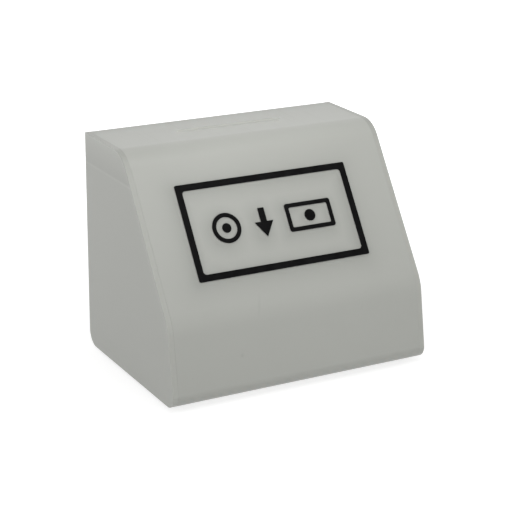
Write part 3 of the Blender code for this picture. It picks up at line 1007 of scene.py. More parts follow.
@dataclass(frozen=True)
class RubberFinish(Finish):
    """Black rubber: matt, finely grained, dusty at its rim."""

    name: str = "foot_rubber"
    body: Colour = colour(0.022, 0.022, 0.023)
    dusty: Colour = colour(0.075, 0.073, 0.07)
    dust: float = 0.5
    roughness: tuple[float, float] = (0.68, 0.86)
    relief: float = 0.0001

    def paint(self, surface: Surface) -> None:
        """Sets up the shader.

        Args:
            surface: Material under construction.
        """
        effects = surface.effects
        grain = surface.effect(effects.mottle, Scale=1500.0, Amount=1.0)
        specks = surface.effect(effects.specks, Scale=1100.0, Share=0.2, Size=0.4)
        dust = specks.larger(surface.attribute(EDGE_ATTRIBUTE)) * self.dust
        rough = grain.carry((0.4, 1.6), self.roughness)
        surface.feed(Base_Color=surface.tint(dust, self.body, self.dusty), Roughness=rough)
        surface.bump(grain, self.relief, 0.4)


class Slot(Enum):
    """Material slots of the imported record."""

    OPAL = "opal_sheet"
    FILM = "black_film"
    HINGE = "hinge_steel"
    SCREW = "screw_steel"
    LOCK = "lock_steel"
    CHROME = "lock_chrome"
    RUBBER = "foot_rubber"


USUAL_FINISHES = {
    Slot.OPAL: OpalFinish(),
    Slot.FILM: FilmFinish(),
    Slot.HINGE: SteelFinish("hinge_steel"),
    Slot.SCREW: SteelFinish("screw_steel", roughness=0.28, grain_scale=1800.0, grain_stretch=0.4),
    Slot.LOCK: SteelFinish(
        "lock_steel",
        metal=colour(0.58, 0.575, 0.56),
        dull=colour(0.51, 0.505, 0.485),
        roughness=0.3,
        grain_scale=900.0,
        grain_stretch=0.8,
        relief=0.000006,
    ),
    Slot.CHROME: SteelFinish(
        "lock_chrome",
        metal=colour(0.62, 0.62, 0.63),
        dull=colour(0.56, 0.56, 0.57),
        roughness=0.2,
        grain_scale=2400.0,
        grain_stretch=0.6,
        relief=0.0000012,
    ),
    Slot.RUBBER: RubberFinish(),
}


@dataclass
class Workshop:
    """Dresses skins: gives each one its finish, its body, its slot, and the node that it stands for."""

    effects: Effects = field(default_factory=Effects)
    materials: dict[str, bpy.types.Material] = field(default_factory=dict)
    done: int = 0

    def __post_init__(self) -> None:
        """Reads which body each node rides on."""
        groups = frame["record"]["behaviour"]["bodies"]
        self.bodies = {node: body for body, nodes in groups.items() for node in nodes}

    def dress(self, skin: Skin, node: str, slot: Slot, finish: Finish | None = None) -> None:
        """Turns a skin into a finished piece that stands for a node.

        Args:
            skin: Skin with its place in the frame.
            node: Node of the frame that the piece replaces.
            slot: Material slot of the record.
            finish: Finish of the piece, or None for the slot's usual one.
        """
        finish = finish or USUAL_FINISHES[slot]
        if finish.name not in self.materials:
            self.materials[finish.name] = finish.material(self.effects)
        piece = skin.finish(f"{node}_surface")
        piece.data.materials.append(self.materials[finish.name])
        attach(piece, self.bodies[node])
        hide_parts(node)
        self.done += 1
        faces = len(skin.faces)
        log.info("%s: %d points, %d faces, on %s", piece.name, skin.count, faces, self.bodies[node])


# Case


@dataclass
class Case:
    """Opal case: bent wrap, two cheeks, and the strips glued under its top."""

    sheet: float = 0.004
    knee_height: float = 0.0567
    knee_setback: float = 0.0093
    slope_top_setback: float = 0.0789
    bend_radii: tuple[float, ...] = (0.022, 0.036, 0.009, 0.011)
    case_depth: float = 0.141
    sill_height: float = 0.032
    slot_length: float = 0.0825
    slot_width: float = 0.006
    slot_to_back: float = 0.0275
    bend_steps: int = 36
    slot_steps: int = 12
    cement_gap: float = 0.00002
    joint_reach: float = 0.06
    slot_reach: float = 0.4
    # Painted light and shade: the rail and the strips behind the sheet hold back light, the strips' cement
    # bead gets a painted highlight, and the cheeks' cut edges are darker towards the top.
    rail_depth: float = 0.012
    rail_tones: tuple[float, float] = (1.0, 0.86)
    strip_tones: tuple[float, float] = (0.95, 1.09)
    bead_highlight: float = 0.06
    rim_tones: tuple[float, float] = (1.03, 1.0)
    upper_rim_tones: tuple[float, float] = (0.98, 0.95)
    upper_rim_softness: float = 0.02
    top_rim_tones: tuple[float, float] = (0.94, 0.9)
    top_rim_softness: float = 0.014
    top_rim_depth: float = 0.01
    marks: tuple[tuple, ...] = (
        (0.0700, 0.0595, (0.0008, 0.0065), -0.3, 0.05),
        (0.0537, 0.0290, (0.0011, 0.0011), 0.0, 0.09),
    )
    wrap_ease: Ease = Ease(0.0005, 0.0003)
    cheek_ease: Ease = Ease(0.0003, 0.00004)
    strip_ease: Ease = Ease(0.0003, 0.0003, 2)

    def __post_init__(self) -> None:
        """Reads the case's place and its sizes from the frame."""
        box = Box("left_cheek")
        self.back = box.high[1]
        self.bottom = box.low[2]
        self.top = self.bottom + box.size[2]
        self.half_width = -box.low[0]
        self.origin = np.array([self.back - self.case_depth, self.bottom])

    def corners(self) -> Array:
        """Corners of the side outline: top rear, top front, knee, bottom front and bottom rear."""
        height = self.top - self.bottom
        rear = (self.case_depth, height)
        slope = [(self.slope_top_setback, height), (self.knee_setback, self.knee_height)]
        return self.origin + np.array([rear, *slope, (0.0, 0.0), (self.case_depth, 0.0)])

    def bends(self) -> list[BendLine]:
        """Arcs at the top front, the knee, the bottom front and the bottom rear."""
        line = self.corners()[[0, 1, 2, 3, 4, 0]]
        runs = zip(line, line[1:], line[2:], self.bend_radii)
        return [fillet(*run, self.bend_steps) for run in runs]

    def wrap_line(self) -> BendLine:
        """Outer face of the wrap in the side view, from the top rear edge round to the rear sill's top."""
        bends = self.bends()
        sill_top = self.origin + (self.case_depth, self.sill_height)
        points = np.vstack([self.corners()[0], *(bend.points for bend in bends), sill_top])
        outward = np.vstack([(0.0, 1.0), *(bend.outward for bend in bends), (1.0, 0.0)])
        return BendLine(points, outward)

    def wrap(self) -> Skin:
        """Bent sheet: eased walls round its flat pattern, quads along its bends, caps round its holes."""
        line = self.wrap_line()
        along = line.lengths
        stations = len(along)
        side = self.half_width - self.sheet - self.cement_gap
        right = np.column_stack([np.full(stations, side), along])
        outline = np.vstack([right, right[::-1] * (-1, 1)])
        reach = np.full(2 * stations, self.joint_reach)
        reach[[stations - 1, -1]] = 1.0
        size = (self.slot_length, self.slot_width)
        slot = rounded_rectangle((0.0, self.slot_to_back), size, self.slot_width / 2, self.slot_steps)[::-1]
        sill_top = self.bottom + self.sill_height
        holes = screw_holes("sill", lambda middle: (middle[0], along[-1] - (sill_top - middle[2])))
        skin = Skin()
        rows = self.wrap_ease.rows(self.sheet)
        edge = skin.wall(outline, rows, line.bend, reach)
        # The slot's wall gets a painted glow, standing in for the light that the milky sheet lets out
        # through it.
        slot_wall = skin.wall(slot, rows, line.bend, np.full(len(slot), self.slot_reach), glow=1.0)
        hole_walls = [skin.wall(hole, rows, line.bend) for hole in holes]
        left = 2 * stations - 1 - np.arange(stations)
        for row in (0, -1):
            pairs = np.column_stack([edge.numbers[row, :stations], edge.numbers[row, left]])
            skin.join(pairs[1:-1], around=False)
            for first, walls in ((0, [slot_wall]), (stations - 2, hole_walls)):
                around = [first, first + 1, left[first + 1], left[first]]
                skin.cap(*edge.ring(row, around), *(wall.ring(row) for wall in walls))
        return skin

    def side_seat(self, place: float, side: int) -> Seat:
        """Seat of a side view at a place across the case, whose depth runs inwards."""
        return Seat((place, 0.0, 0.0), (0.0, 1.0, 0.0), (0.0, 0.0, 1.0), (-side, 0.0, 0.0))

    def cheek(self, side: int) -> Skin:
        """Flat side panel with the case's full outline.

        Args:
            side: 1 for the right and -1 for the left.

        Returns:
            The panel's skin.
        """
        outline = np.vstack([*(bend.points for bend in self.bends()), self.corners()[0]])
        seat = self.side_seat(side * self.half_width, side)
        return flat_sheet([outline], self.sheet, self.cheek_ease, seat)

    def gusset(self, node: str, side: int) -> Skin:
        """Strip glued under the top, beside a cheek: its front end follows the inside of the top bend.

        Args:
            node: Node that the strip stands for.
            side: 1 for the right and -1 for the left.

        Returns:
            The strip's skin.
        """
        box = Box(node)
        bend = self.bends()[0]
        front = bend.points - (self.top - box.high[2]) * bend.outward
        rear = [(box.high[1], box.low[2]), (box.high[1], box.high[2])]
        outline = np.vstack([rear, front, (box.low[1], box.low[2])])
        face = box.high[0] if side > 0 else box.low[0]
        return flat_sheet([outline], box.size[0], self.strip_ease, self.side_seat(face, side))

    def rail(self) -> Skin:
        """Bar under the top that the door shuts against."""
        box = Box("rear_catch_rail")
        low, high = box.low[[0, 2]], box.high[[0, 2]]
        outline = np.array([low, (high[0], low[1]), high, (low[0], high[1])])
        return flat_sheet([outline], box.size[1], self.strip_ease, Seat((0.0, box.low[1], 0.0)))

    def slope_seat(self) -> Seat:
        """Seat on the slope, from the middle between its two corners."""
        top, knee = self.corners()[1:3]
        up = (top - knee) / np.linalg.norm(top - knee)
        return Seat((0.0, *(top + knee) / 2), up=(0.0, *up), out=(0.0, -up[1], up[0]))

    def printed_finish(self, shade: PrintShade) -> OpalFinish:
        """Finish of the wrap: painted shade where the rail behind its rear edge holds back light, the
        print's painted shade, and two scuffs.

        Args:
            shade: Shade that the print leaves in the sheet.

        Returns:
            The finish.
        """
        # Painted shade over the rear of the top, where the rail behind holds back light.
        rail = PaintedShadeRamp("Y", self.back - self.rail_depth, self.back, self.rail_tones)
        scuffs = [Scuff((x - self.half_width, 0.0, self.bottom + z), *rest) for x, z, *rest in self.marks]
        return OpalFinish("opal_printed", (rail, shade, *scuffs))

    def cheek_finish(self) -> OpalFinish:
        """Finish of the cheeks: painted shade and light by the strips behind them, painted light at their
        outline, and painted shade on their cut edges, darker towards the top.
        """
        knee = self.bottom + self.knee_height
        strip = Box("left_top_gusset").low[2]
        # Painted shade just above the strips' edge, running to painted light at the top, where the strips
        # behind hold back light.
        strips = PaintedShadeRamp("Z", strip, self.top, self.strip_tones, bead=self.bead_highlight)
        lid = Seat((0.0, 0.0, self.top), up=(0.0, 1.0, 0.0), out=(0.0, 0.0, 1.0))
        near_top = self.top - self.top_rim_depth
        # Painted shade on the cut edges, darker towards the top.
        rims = (
            PaintedShadeRamp("Z", knee, self.top, self.upper_rim_tones, self.upper_rim_softness),
            PaintedShadeRamp("Z", near_top, self.top, self.top_rim_tones, self.top_rim_softness),
            PaintedShadeRamp("Z", self.bottom - self.sheet, self.top, self.rim_tones),
        )
        return OpalFinish("opal_cheek", (strips, EdgeLight((self.slope_seat(), lid))), rims)

    def build(self, shop: Workshop, shade: PrintShade) -> None:
        """Builds and dresses the case's pieces.

        Args:
            shop: Workshop that dresses the pieces.
            shade: Shade that the print leaves in the sheet.
        """
        shop.dress(self.wrap(), "wrap_shell", Slot.OPAL, self.printed_finish(shade))
        for name, side in (("left", -1), ("right", 1)):
            shop.dress(self.cheek(side), f"{name}_cheek", Slot.OPAL, self.cheek_finish())
            node = f"{name}_top_gusset"
            shop.dress(self.gusset(node, side), node, Slot.OPAL)
        shop.dress(self.rail(), "rear_catch_rail", Slot.OPAL)


@dataclass
class FrontPrint:
    """Black border on the slope, with plain signs for a coin, an arrow and a banknote inside."""

    seat: Seat
    size: tuple[float, float] = (0.134, 0.0692)
    stroke: float = 0.0047
    radii: tuple[float, float] = (0.0012, 0.0024)
    shift: tuple[float, float] = (-0.0018, -0.0009)
    sign_stroke: float = 0.003
    sign_gap: float = 0.011
    coin_radius: float = 0.0108
    coin_core_radius: float = 0.0034
    arrow_size: tuple[float, float] = (0.0145, 0.021)
    arrow_head_height: float = 0.011
    arrow_shaft_width: float = 0.0048
    note_size: tuple[float, float] = (0.0365, 0.0205)
    note_radii: tuple[float, float] = (0.0018, 0.0009)
    note_core_radius: float = 0.0042
    lift: float = 0.0003
    thickness: float = 0.0002
    corner_steps: int = 8
    round_steps: int = 96
    ease: Ease = Ease(0.00004, 0.00002, 2)

    def __post_init__(self) -> None:
        """Works out the middles of the border, the coin, the arrow and the banknote, which form a row."""
        self.middle = np.array(self.shift)
        row = 2 * self.coin_radius + self.arrow_size[0] + self.note_size[0] + 2 * self.sign_gap
        self.coin = self.middle + (self.coin_radius - row / 2, 0.0)
        self.arrow = self.coin + (self.coin_radius + self.sign_gap + self.arrow_size[0] / 2, 0.0)
        self.note = self.middle + (row / 2 - self.note_size[0] / 2, 0.0)

    def arrow_outline(self) -> Array:
        """Arrow that points down the slope, counter-clockwise."""
        half_shaft = self.arrow_shaft_width / 2
        half_head, top = np.array(self.arrow_size) / 2
        shoulder = self.arrow_head_height - top
        left = [(half_shaft, top), (-half_shaft, top), (-half_shaft, shoulder), (-half_head, shoulder)]
        return self.arrow + np.array([*left, (0.0, -top), (half_head, shoulder), (half_shaft, shoulder)])

    def frame_of(self, middle: Array, size: tuple, stroke: float, radii: tuple) -> list[Array]:
        """Outline and hole of a rectangular frame."""
        sizes = (np.array(size), np.array(size) - 2 * stroke)
        return [rounded_rectangle(middle, *both, self.corner_steps) for both in zip(sizes, radii)]

    def shade(self) -> PrintShade:
        """Shade that the print leaves in the sheet, with a rounded shape for each part of the print."""
        border = np.array(self.size) / 2 - self.stroke / 2
        note = np.array(self.note_size) / 2 - self.sign_stroke / 2
        line = self.sign_stroke / 2
        point = (0.0, 0.0)
        arrow = (0.0, self.arrow_size[1] / 4)
        cores = ((self.coin, self.coin_core_radius / 2), (self.note, self.note_core_radius / 2))
        shapes = (
            PrintedShape(self.middle, border, 0.0, self.stroke / 2),
            PrintedShape(self.coin, point, self.coin_radius - line, line),
            PrintedShape(self.arrow, arrow, self.arrow_size[0] / 6, self.arrow_size[0] / 6),
            PrintedShape(self.note, note, 0.0, line),
            *(PrintedShape(middle, point, half, half) for middle, half in cores),
        )
        return PrintShade(self.seat, shapes)

    def build(self, shop: Workshop) -> None:
        """Builds and dresses the border and the signs, each a thin film with maybe a hole.

        Args:
            shop: Workshop that dresses the pieces.
        """
        coin_radii = (self.coin_radius, self.coin_radius - self.sign_stroke)
        films = {
            "border_film": self.frame_of(self.middle, self.size, self.stroke, self.radii),
            "motif_coin_ring": [circle(radius, self.round_steps, self.coin) for radius in coin_radii],
            "motif_coin_core": [circle(self.coin_core_radius, self.round_steps, self.coin)],
            "motif_arrow": [self.arrow_outline()],
            "motif_note_frame": self.frame_of(self.note, self.note_size, self.sign_stroke, self.note_radii),
            "motif_note_core": [circle(self.note_core_radius, self.round_steps, self.note)],
        }
        lifted = replace(self.seat, origin=tuple(self.seat.origin + self.lift * np.array(self.seat.out)))
        for node, (outline, *holes) in films.items():
            loops = [outline, *(hole[::-1] for hole in holes)]
            shop.dress(flat_sheet(loops, self.thickness, self.ease, lifted), node, Slot.FILM)


# Rear door


@dataclass
class RearDoor:
    """Opal door panel with holes for its lock and its hinge screws."""

    corner_radius: float = 0.0015
    corner_steps: int = 6
    lock_radius: float = 0.0083
    lock_half_flat: float = 0.0072
    lock_steps: int = 72
    ease: Ease = Ease(0.0005, 0.0005, 4)

    def panel(self) -> Skin:
        """Door panel with eased edges and holes."""
        box = Box("rear_door")
        middle, size = box.middle[[0, 2]], box.size[[0, 2]]
        outline = rounded_rectangle(middle, size, self.corner_radius, self.corner_steps)
        turn = ring_turn(self.lock_steps)
        bore = polar(double_d_radius(turn, self.lock_radius, self.lock_half_flat), turn)
        loops = [
            outline,
            *screw_holes("door", lambda middle: middle[[0, 2]]),
            (Box("lock_body").middle[[0, 2]] + bore)[::-1],
        ]
        return flat_sheet(loops, box.size[1], self.ease, Seat((0.0, box.low[1], 0.0)))

    def build(self, shop: Workshop) -> None:
        """Builds and dresses the door."""
        shop.dress(self.panel(), "rear_door", Slot.OPAL)


# Fasteners


@dataclass(frozen=True)
class HexagonNut:
    """Hexagon nut: corners cut back by a cone, w = (hex(t) - rim) tan 30, and a threaded bore.

    The thread is bore - depth wave(w / pitch + t / 2 pi), and runs out at both faces.
    """

    half_flat: float
    bore: float
    pitch: float
    thread_depth: float
    steps: int = 48
    rim_share: float = 1.02
    cone_slope: float = np.tan(np.radians(30))
    rows_per_pitch: int = 4
    rim_wear: float = 0.6

    def skin(self, seat: Seat, height: float) -> Skin:
        """Nut that stands on a seat.

        Args:
            seat: Middle of its first face.
            height: Its height.

        Returns:
            The nut's skin.
        """
        turn = ring_turn(self.steps)
        hexagon = polygon_radius(turn, self.half_flat, 6)
        rim = self.half_flat * self.rim_share
        cone = np.maximum(hexagon - rim, 0.0) * self.cone_slope
        face = np.minimum(hexagon, rim)
        rows = max(int(height / self.pitch * self.rows_per_pitch), self.rows_per_pitch)
        threads = np.linspace(height, 0.0, rows + 1)[:, None]
        run_out = smooth_step(np.minimum(threads, height - threads) / self.pitch)
        wave = thread_wave(threads + self.pitch * turn / FULL_TURN, self.pitch)
        bore = self.bore - self.thread_depth * wave * run_out
        wear = [self.rim_wear, 1.0, 1.0, self.rim_wear, *np.zeros(rows + 1)]
        skin = Skin()
        places = [0.0, cone, height - cone, height, *threads]
        skin.rings(seat, places, [face, hexagon, hexagon, face, *bore], self.steps, wear, bored=True)
        return skin


@dataclass(frozen=True)
class CrossScrew:
    """Pan-head screw along Y, with a cross recess and a right-hand thread.

    Its way is 1 where its head is at its high end and -1 where it is at its low end. The sizes from
    innermost to underside are shares of the head's radius or of its height.
    """

    head_height: float
    shank_radius: float
    pitch: float
    thread_depth: float
    way: int = 1
    steps: int = 72
    head_rings: int = 22
    rows_per_pitch: int = 4
    innermost: float = 0.04
    crown: float = 0.5
    recess: float = 0.62
    bar: float = 0.1625
    bar_fall: float = 0.065
    reach: float = 0.58
    reach_fall: float = 0.14
    shoaling: float = 0.35
    rim: float = 0.88
    underside: float = 0.97

    def skin(self, node: str) -> Skin:
        """Rings down the head and the shank, at a depth w from the head's top.

        The head is w = height (crown r^3 + recess arm), where arm is 1 inside a cross of two bars and falls
        smoothly to 0 at its rim. The thread is radius - depth (1 - wave(y / pitch + t / 2 pi)), and runs
        out at the end.

        Args:
            node: Node that the screw stands for.

        Returns:
            The screw's skin.
        """
        box = Box(node)
        length = box.size[1]
        top = box.high[1] if self.way > 0 else box.low[1]
        radius = box.size[0] / 2
        turn = ring_turn(self.steps)
        ring = np.linspace(self.innermost, 1.0, self.head_rings)[:, None]
        sides = np.abs([ring * np.cos(turn), ring * np.sin(turn)])
        far = sides.max(axis=0)
        arm = smooth_step((self.bar - sides.min(axis=0)) / self.bar_fall)
        arm = arm * smooth_step((self.reach - far) / self.reach_fall)
        arm = arm * (1 - self.shoaling * far / self.reach)
        head = self.head_height * (self.crown * ring**3 + self.recess * arm)
        rows = int(np.ceil((length - self.head_height) / self.pitch * self.rows_per_pitch))
        shank = np.linspace(self.head_height, length, rows + 1)[:, None]
        wave = thread_wave(top - self.way * shank + self.pitch * turn / FULL_TURN, self.pitch)
        wave = wave * smooth_step((length - shank) / self.pitch)
        thread = self.shank_radius - self.thread_depth * (1 - wave)
        places = [*head, self.head_height * self.rim, self.head_height, *shank]
        radii = [*(radius * ring), radius, radius * self.underside, *thread]
        seat = Seat((box.middle[0], top, box.middle[2]), out=(0.0, -float(self.way), 0.0))
        skin = Skin()
        skin.rings(seat, places, radii, self.steps, capped=True)
        return skin


# Hinge


@dataclass
class PianoHinge:
    """Piano hinge: two steel leaves rolled round a pin, with screws through each and nuts inside."""

    knuckles: int = 9
    knuckle_gap: float = 0.0004
    knuckle_radius: float = 0.0022
    leaf_thickness: float = 0.0009
    roll_turn: float = np.radians(292)
    roll_steps: int = 30
    pin_steps: int = 48
    dome_steps: int = 4
    dome_height: float = 0.0004
    dome_share: float = 0.25
    ease: Ease = Ease(0.00012, 0.00012, 2)
    screw: CrossScrew = CrossScrew(0.0017, 0.0015, 0.0005, 0.00022)
    nut: HexagonNut = HexagonNut(0.00275, 0.0018, 0.0005, 0.00022)

    def __post_init__(self) -> None:
        """Reads the hinge's place from its pin and its leaves."""
        pin = Box("hinge_pin")
        self.axis = pin.middle
        self.pin_radius = pin.size[2] / 2
        self.length = pin.size[0]
        self.mount = Box("hinge_sill_leaf").low[1]

    def spans(self, first: int) -> list[tuple[float, float]]:
        """Low and high X of every second knuckle, from the right: the hinge's own ends are flush.

        Args:
            first: First of the knuckles.

        Returns:
            Low and high X of each.
        """
        ends = np.arange(self.knuckles + 1) * (self.length / self.knuckles) - self.length / 2
        lows = ends[:-1] + np.r_[0.0, np.full(self.knuckles - 1, self.knuckle_gap / 2)]
        highs = ends[1:] - np.r_[np.full(self.knuckles - 1, self.knuckle_gap / 2), 0.0]
        return list(zip(lows, highs))[first::2][::-1]

    def leaf_line(self, side: int, reach: float) -> BendLine:
        """Mount face of a leaf in the side view: straight to the axis, then rolled round the pin.

        Args:
            side: 1 for the leaf above the axis, -1 for the one below.
            reach: Distance from the axis to the leaf's far edge.

        Returns:
            The line, from the far edge.
        """
        turn = np.linspace(0, self.roll_turn, self.roll_steps + 1)
        outward = np.column_stack([-np.cos(turn), -side * np.sin(turn)])
        root = self.knuckle_radius + self.knuckle_gap
        flat = [(self.mount, self.axis[2] + side * place) for place in (reach, root)]
        roll = self.axis[1:] + self.knuckle_radius * outward
        return BendLine(np.vstack([flat, roll]), np.vstack([[(-1.0, 0.0)] * 2, outward]))

    def leaf(self, node: str, kind: str, side: int, first: int) -> Skin:
        """Leaf in its flat pattern, a comb whose tabs roll round the pin, bent along its line.

        Args:
            node: Node that the leaf stands for.
            kind: What it is screwed to, the sill or the door.
            side: 1 for the leaf above the axis, -1 for the one below.
            first: First knuckle that belongs to the leaf.

        Returns:
            The leaf's skin.
        """
        box = Box(node)
        reach = box.high[2] - self.axis[2] if side > 0 else self.axis[2] - box.low[2]
        line = self.leaf_line(side, reach)
        tab = line.lengths[1:]
        half = self.length / 2
        spans = self.spans(first)
        outline = np.array([(-half, 0.0), (half, 0.0)])
        if spans[0][1] < half - self.knuckle_gap:
            outline = np.vstack([outline, (half, tab[0])])
        tips = []
        for left, right in spans:
            rise = len(outline) + np.arange(len(tab))
            tips.append((rise, rise[::-1] + len(tab)))
            outline = np.vstack([outline, np.c_[np.full(len(tab), right), tab]])
            outline = np.vstack([outline, np.c_[np.full(len(tab), left), tab[::-1]]])
        if spans[-1][0] > self.knuckle_gap - half:
            outline = np.vstack([outline, (-half, tab[0])])
        holes = screw_holes(kind, lambda middle: (middle[0], reach - side * (middle[2] - self.axis[2])))
        skin = Skin()
        rows = self.ease.rows(self.leaf_thickness)
        edge, *bores = [skin.wall(loop, rows, line.bend) for loop in (outline, *holes)]
        rolled = np.concatenate([np.r_[rise[1:], fall[1:]] for rise, fall in tips])
        flat_part = np.delete(np.arange(len(outline)), rolled)
        for row in (0, -1):
            for sides in tips:
                skin.join(edge.numbers[row, np.column_stack(sides)], around=False)
            skin.cap(*edge.ring(row, flat_part), *(bore.ring(row) for bore in bores))
        return skin

    def pin(self) -> Skin:
        """Pin with slightly domed ends: rings of radius r at places along X."""
        inset, fall = quarter_round(1.0, self.dome_steps)
        ends = self.length / 2 - self.dome_height * fall
        radii = self.pin_radius * (1 - self.dome_share * inset)
        seat = Seat(tuple(self.axis), (0.0, 1.0, 0.0), (0.0, 0.0, 1.0), (1.0, 0.0, 0.0))
        skin = Skin()
        skin.rings(seat, np.r_[-ends[::-1], ends], np.r_[radii[::-1], radii], self.pin_steps, capped=True)
        return skin

    def build(self, shop: Workshop) -> None:
        """Builds and dresses the hinge and its fasteners.

        Args:
            shop: Workshop that dresses the pieces.
        """
        for kind, side, first in (("sill", -1, 0), ("door", 1, 1)):
            node = f"hinge_{kind}_leaf"
            shop.dress(self.leaf(node, kind, side, first), node, Slot.HINGE)
        shop.dress(self.pin(), "hinge_pin", Slot.HINGE)
        for kind in ("sill", "door"):
            for number in SCREW_NUMBERS:
                node = f"{kind}_screw_{number}"
                shop.dress(self.screw.skin(node), node, Slot.SCREW)
                node = f"{kind}_nut_{number}"
                box = Box(node)
                seat = Seat((box.middle[0], box.low[1], box.middle[2]))
                shop.dress(self.nut.skin(seat, box.size[1]), node, Slot.SCREW)


# Lock


@dataclass
class CamLock:
    """Cam lock: threaded housing with a face ring, nut, washer, plug with a keyway, cam and cam screw."""

    steps: int = 96
    body_radius: float = 0.008
    body_half_flat: float = 0.0069
    bore_radius: float = 0.0059
    recess_radius: float = 0.0071
    recess_depth: float = 0.0013
    recess_chamfer: float = 0.0003
    ring_thickness: float = 0.0024
    ring_round: float = 0.0011
    ring_round_steps: int = 6
    thread_pitch: float = 0.001
    thread_depth: float = 0.00035
    rows_per_pitch: int = 8
    clearance: float = 0.0003
    plug_radius: float = 0.0056
    plug_ease: float = 0.0003
    plug_ease_middle: float = 0.3
    collar_height: float = 0.001
    tail_half: float = 0.003
    tail_hole_depth: float = 0.0078
    keyway_size: tuple[float, float] = (0.0018, 0.0072)
    keyway_chamfer: float = 0.0002
    keyway_depth: float = 0.007
    corner_steps: int = 4
    tooth_depth: float = 0.0006
    teeth: int = 12
    cam_hub: float = 0.0078
    cam_half_width: float = 0.006
    cam_reach: float = 0.0225
    cam_hole_half: float = 0.0033
    cam_hole_rounding: float = 0.0002
    cam_hole_steps: int = 3
    hub_steps: int = 48
    tip_steps: int = 24
    screw_radius: float = 0.0016
    screw_pitch: float = 0.0007
    nut_half_flat: float = 0.01
    nut_thread_depth: float = 0.00025
    washer_ease: Ease = Ease(0.00015, 0.00015, 2)
    cam_ease: Ease = Ease(0.00025, 0.00025)

    def __post_init__(self) -> None:
        """Reads the lock's housing, whose middle gives the axis."""
        self.body = Box("lock_body")

    def seat_at(self, place: float) -> Seat:
        """Seat on the lock's axis at a place along Y."""
        return Seat((self.body.middle[0], place, self.body.middle[2]))

    def housing(self) -> Skin:
        """Housing: a threaded double-D barrel, a rounded face ring, and the plug's bore with its recess."""
        width, length = self.body.size[:2]
        under_ring = length - self.ring_thickness
        turn = ring_turn(self.steps)
        rows = int(under_ring / self.thread_pitch * self.rows_per_pitch)
        place = np.linspace(0.0, under_ring, rows + 1)[:, None]
        wave = thread_wave(place + self.thread_pitch * turn / FULL_TURN, self.thread_pitch)
        lead = smooth_step(np.minimum(place, under_ring - place) / self.thread_pitch)
        flats = double_d_radius(turn, self.body_radius, self.body_half_flat)
        barrel = np.minimum(self.body_radius - self.thread_depth * wave * lead, flats)
        inset, fall = quarter_round(self.ring_round, self.ring_round_steps)
        profile = [
            (under_ring, width / 2),
            *zip(length - fall, width / 2 - inset),
            (length, self.recess_radius + self.recess_chamfer),
            (length - self.recess_chamfer, self.recess_radius),
            (length - self.recess_depth, self.recess_radius),
            (length - self.recess_depth, self.bore_radius),
            (0.0, self.bore_radius),
        ]
        places, radii = zip(*profile)
        skin = Skin()
        seat = self.seat_at(self.body.low[1])
        skin.rings(seat, [*place, *places], [*barrel, *radii], self.steps, bored=True)
        return skin

    def washer(self, node: str, bore: float, tooth_depth: float = 0.0) -> Skin:
        """Washer with eased edges, whose bore may have small teeth: r = bore + depth |sin(teeth t / 2)|.

        Args:
            node: Node that the washer stands for.
            bore: Radius of its bore.
            tooth_depth: Depth of its teeth.

        Returns:
            The washer's skin.
        """
        box = Box(node)
        turn = ring_turn(self.steps)
        hole = polar(bore + tooth_depth * np.abs(np.sin(self.teeth * turn / 2)), turn)
        loops = [circle(box.size[0] / 2, self.steps), hole[::-1]]
        return flat_sheet(loops, box.size[1], self.washer_ease, self.seat_at(box.low[1]))

    def plug(self) -> Skin:
        """Plug: keyed face, collar, barrel and square tail with a screw hole."""
        box = Box("lock_plug")
        collar, length = box.size[0] / 2, box.size[1]
        tail_length = self.body.low[1] - box.low[1]
        tail = polygon_radius(ring_turn(self.steps), self.tail_half, 4)
        under_collar = length - self.collar_height
        hole = self.screw_radius + self.clearance
        small = self.plug_ease * self.plug_ease_middle
        profile = [
            (self.tail_hole_depth, hole),
            (0.0, hole),
            (0.0, tail),
            (tail_length, tail),
            (tail_length, self.plug_radius),
            (under_collar, self.plug_radius),
            (under_collar, collar),
            (length - self.plug_ease, collar),
            (length - small, collar - small),
            (length, collar - self.plug_ease),
        ]
        skin = Skin()
        numbers = skin.rings(self.seat_at(box.low[1]), *zip(*profile), self.steps)
        skin.cap(numbers[0])
        rounding = self.keyway_size[0] / 4
        keyway = rounded_rectangle((0.0, 0.0), self.keyway_size, rounding, self.corner_steps)[::-1]
        chamfer = self.keyway_chamfer
        rows = np.array([(chamfer, 0.0, 0.0), (0.0, chamfer, 0.0), (0.0, self.keyway_depth, 0.0)])
        key = skin.wall(keyway, rows, replace(self.seat_at(box.high[1]), out=(0.0, -1.0, 0.0)))
        skin.cap(key.numbers[-1])
        skin.cap(numbers[-1], circle(collar - self.plug_ease, self.steps), key.ring(0))
        return skin

    def cam(self) -> Skin:
        """Cam: a round hub and an arm with a round end, with a square hole."""
        box = Box("lock_cam")
        lean = np.arcsin(self.cam_half_width / self.cam_hub)
        hub = polar(self.cam_hub, np.linspace(lean, FULL_TURN - lean, self.hub_steps + 1))
        tip = polar(self.cam_half_width, np.linspace(-QUARTER_TURN, QUARTER_TURN, self.tip_steps + 1))
        outline = np.vstack([hub, tip + (self.cam_reach - self.cam_half_width, 0.0)])
        side = 2 * self.cam_hole_half
        square = rounded_rectangle((0.0, 0.0), (side, side), self.cam_hole_rounding, self.cam_hole_steps)
        return flat_sheet([outline, square[::-1]], box.size[1], self.cam_ease, self.seat_at(box.low[1]))

    def nut(self) -> Skin:
        """Large thin nut that clamps the housing in the door."""
        box = Box("lock_nut")
        bore = self.body_radius + self.clearance
        form = HexagonNut(self.nut_half_flat, bore, self.thread_pitch, self.nut_thread_depth, self.steps)
        return form.skin(self.seat_at(box.low[1]), box.size[1])

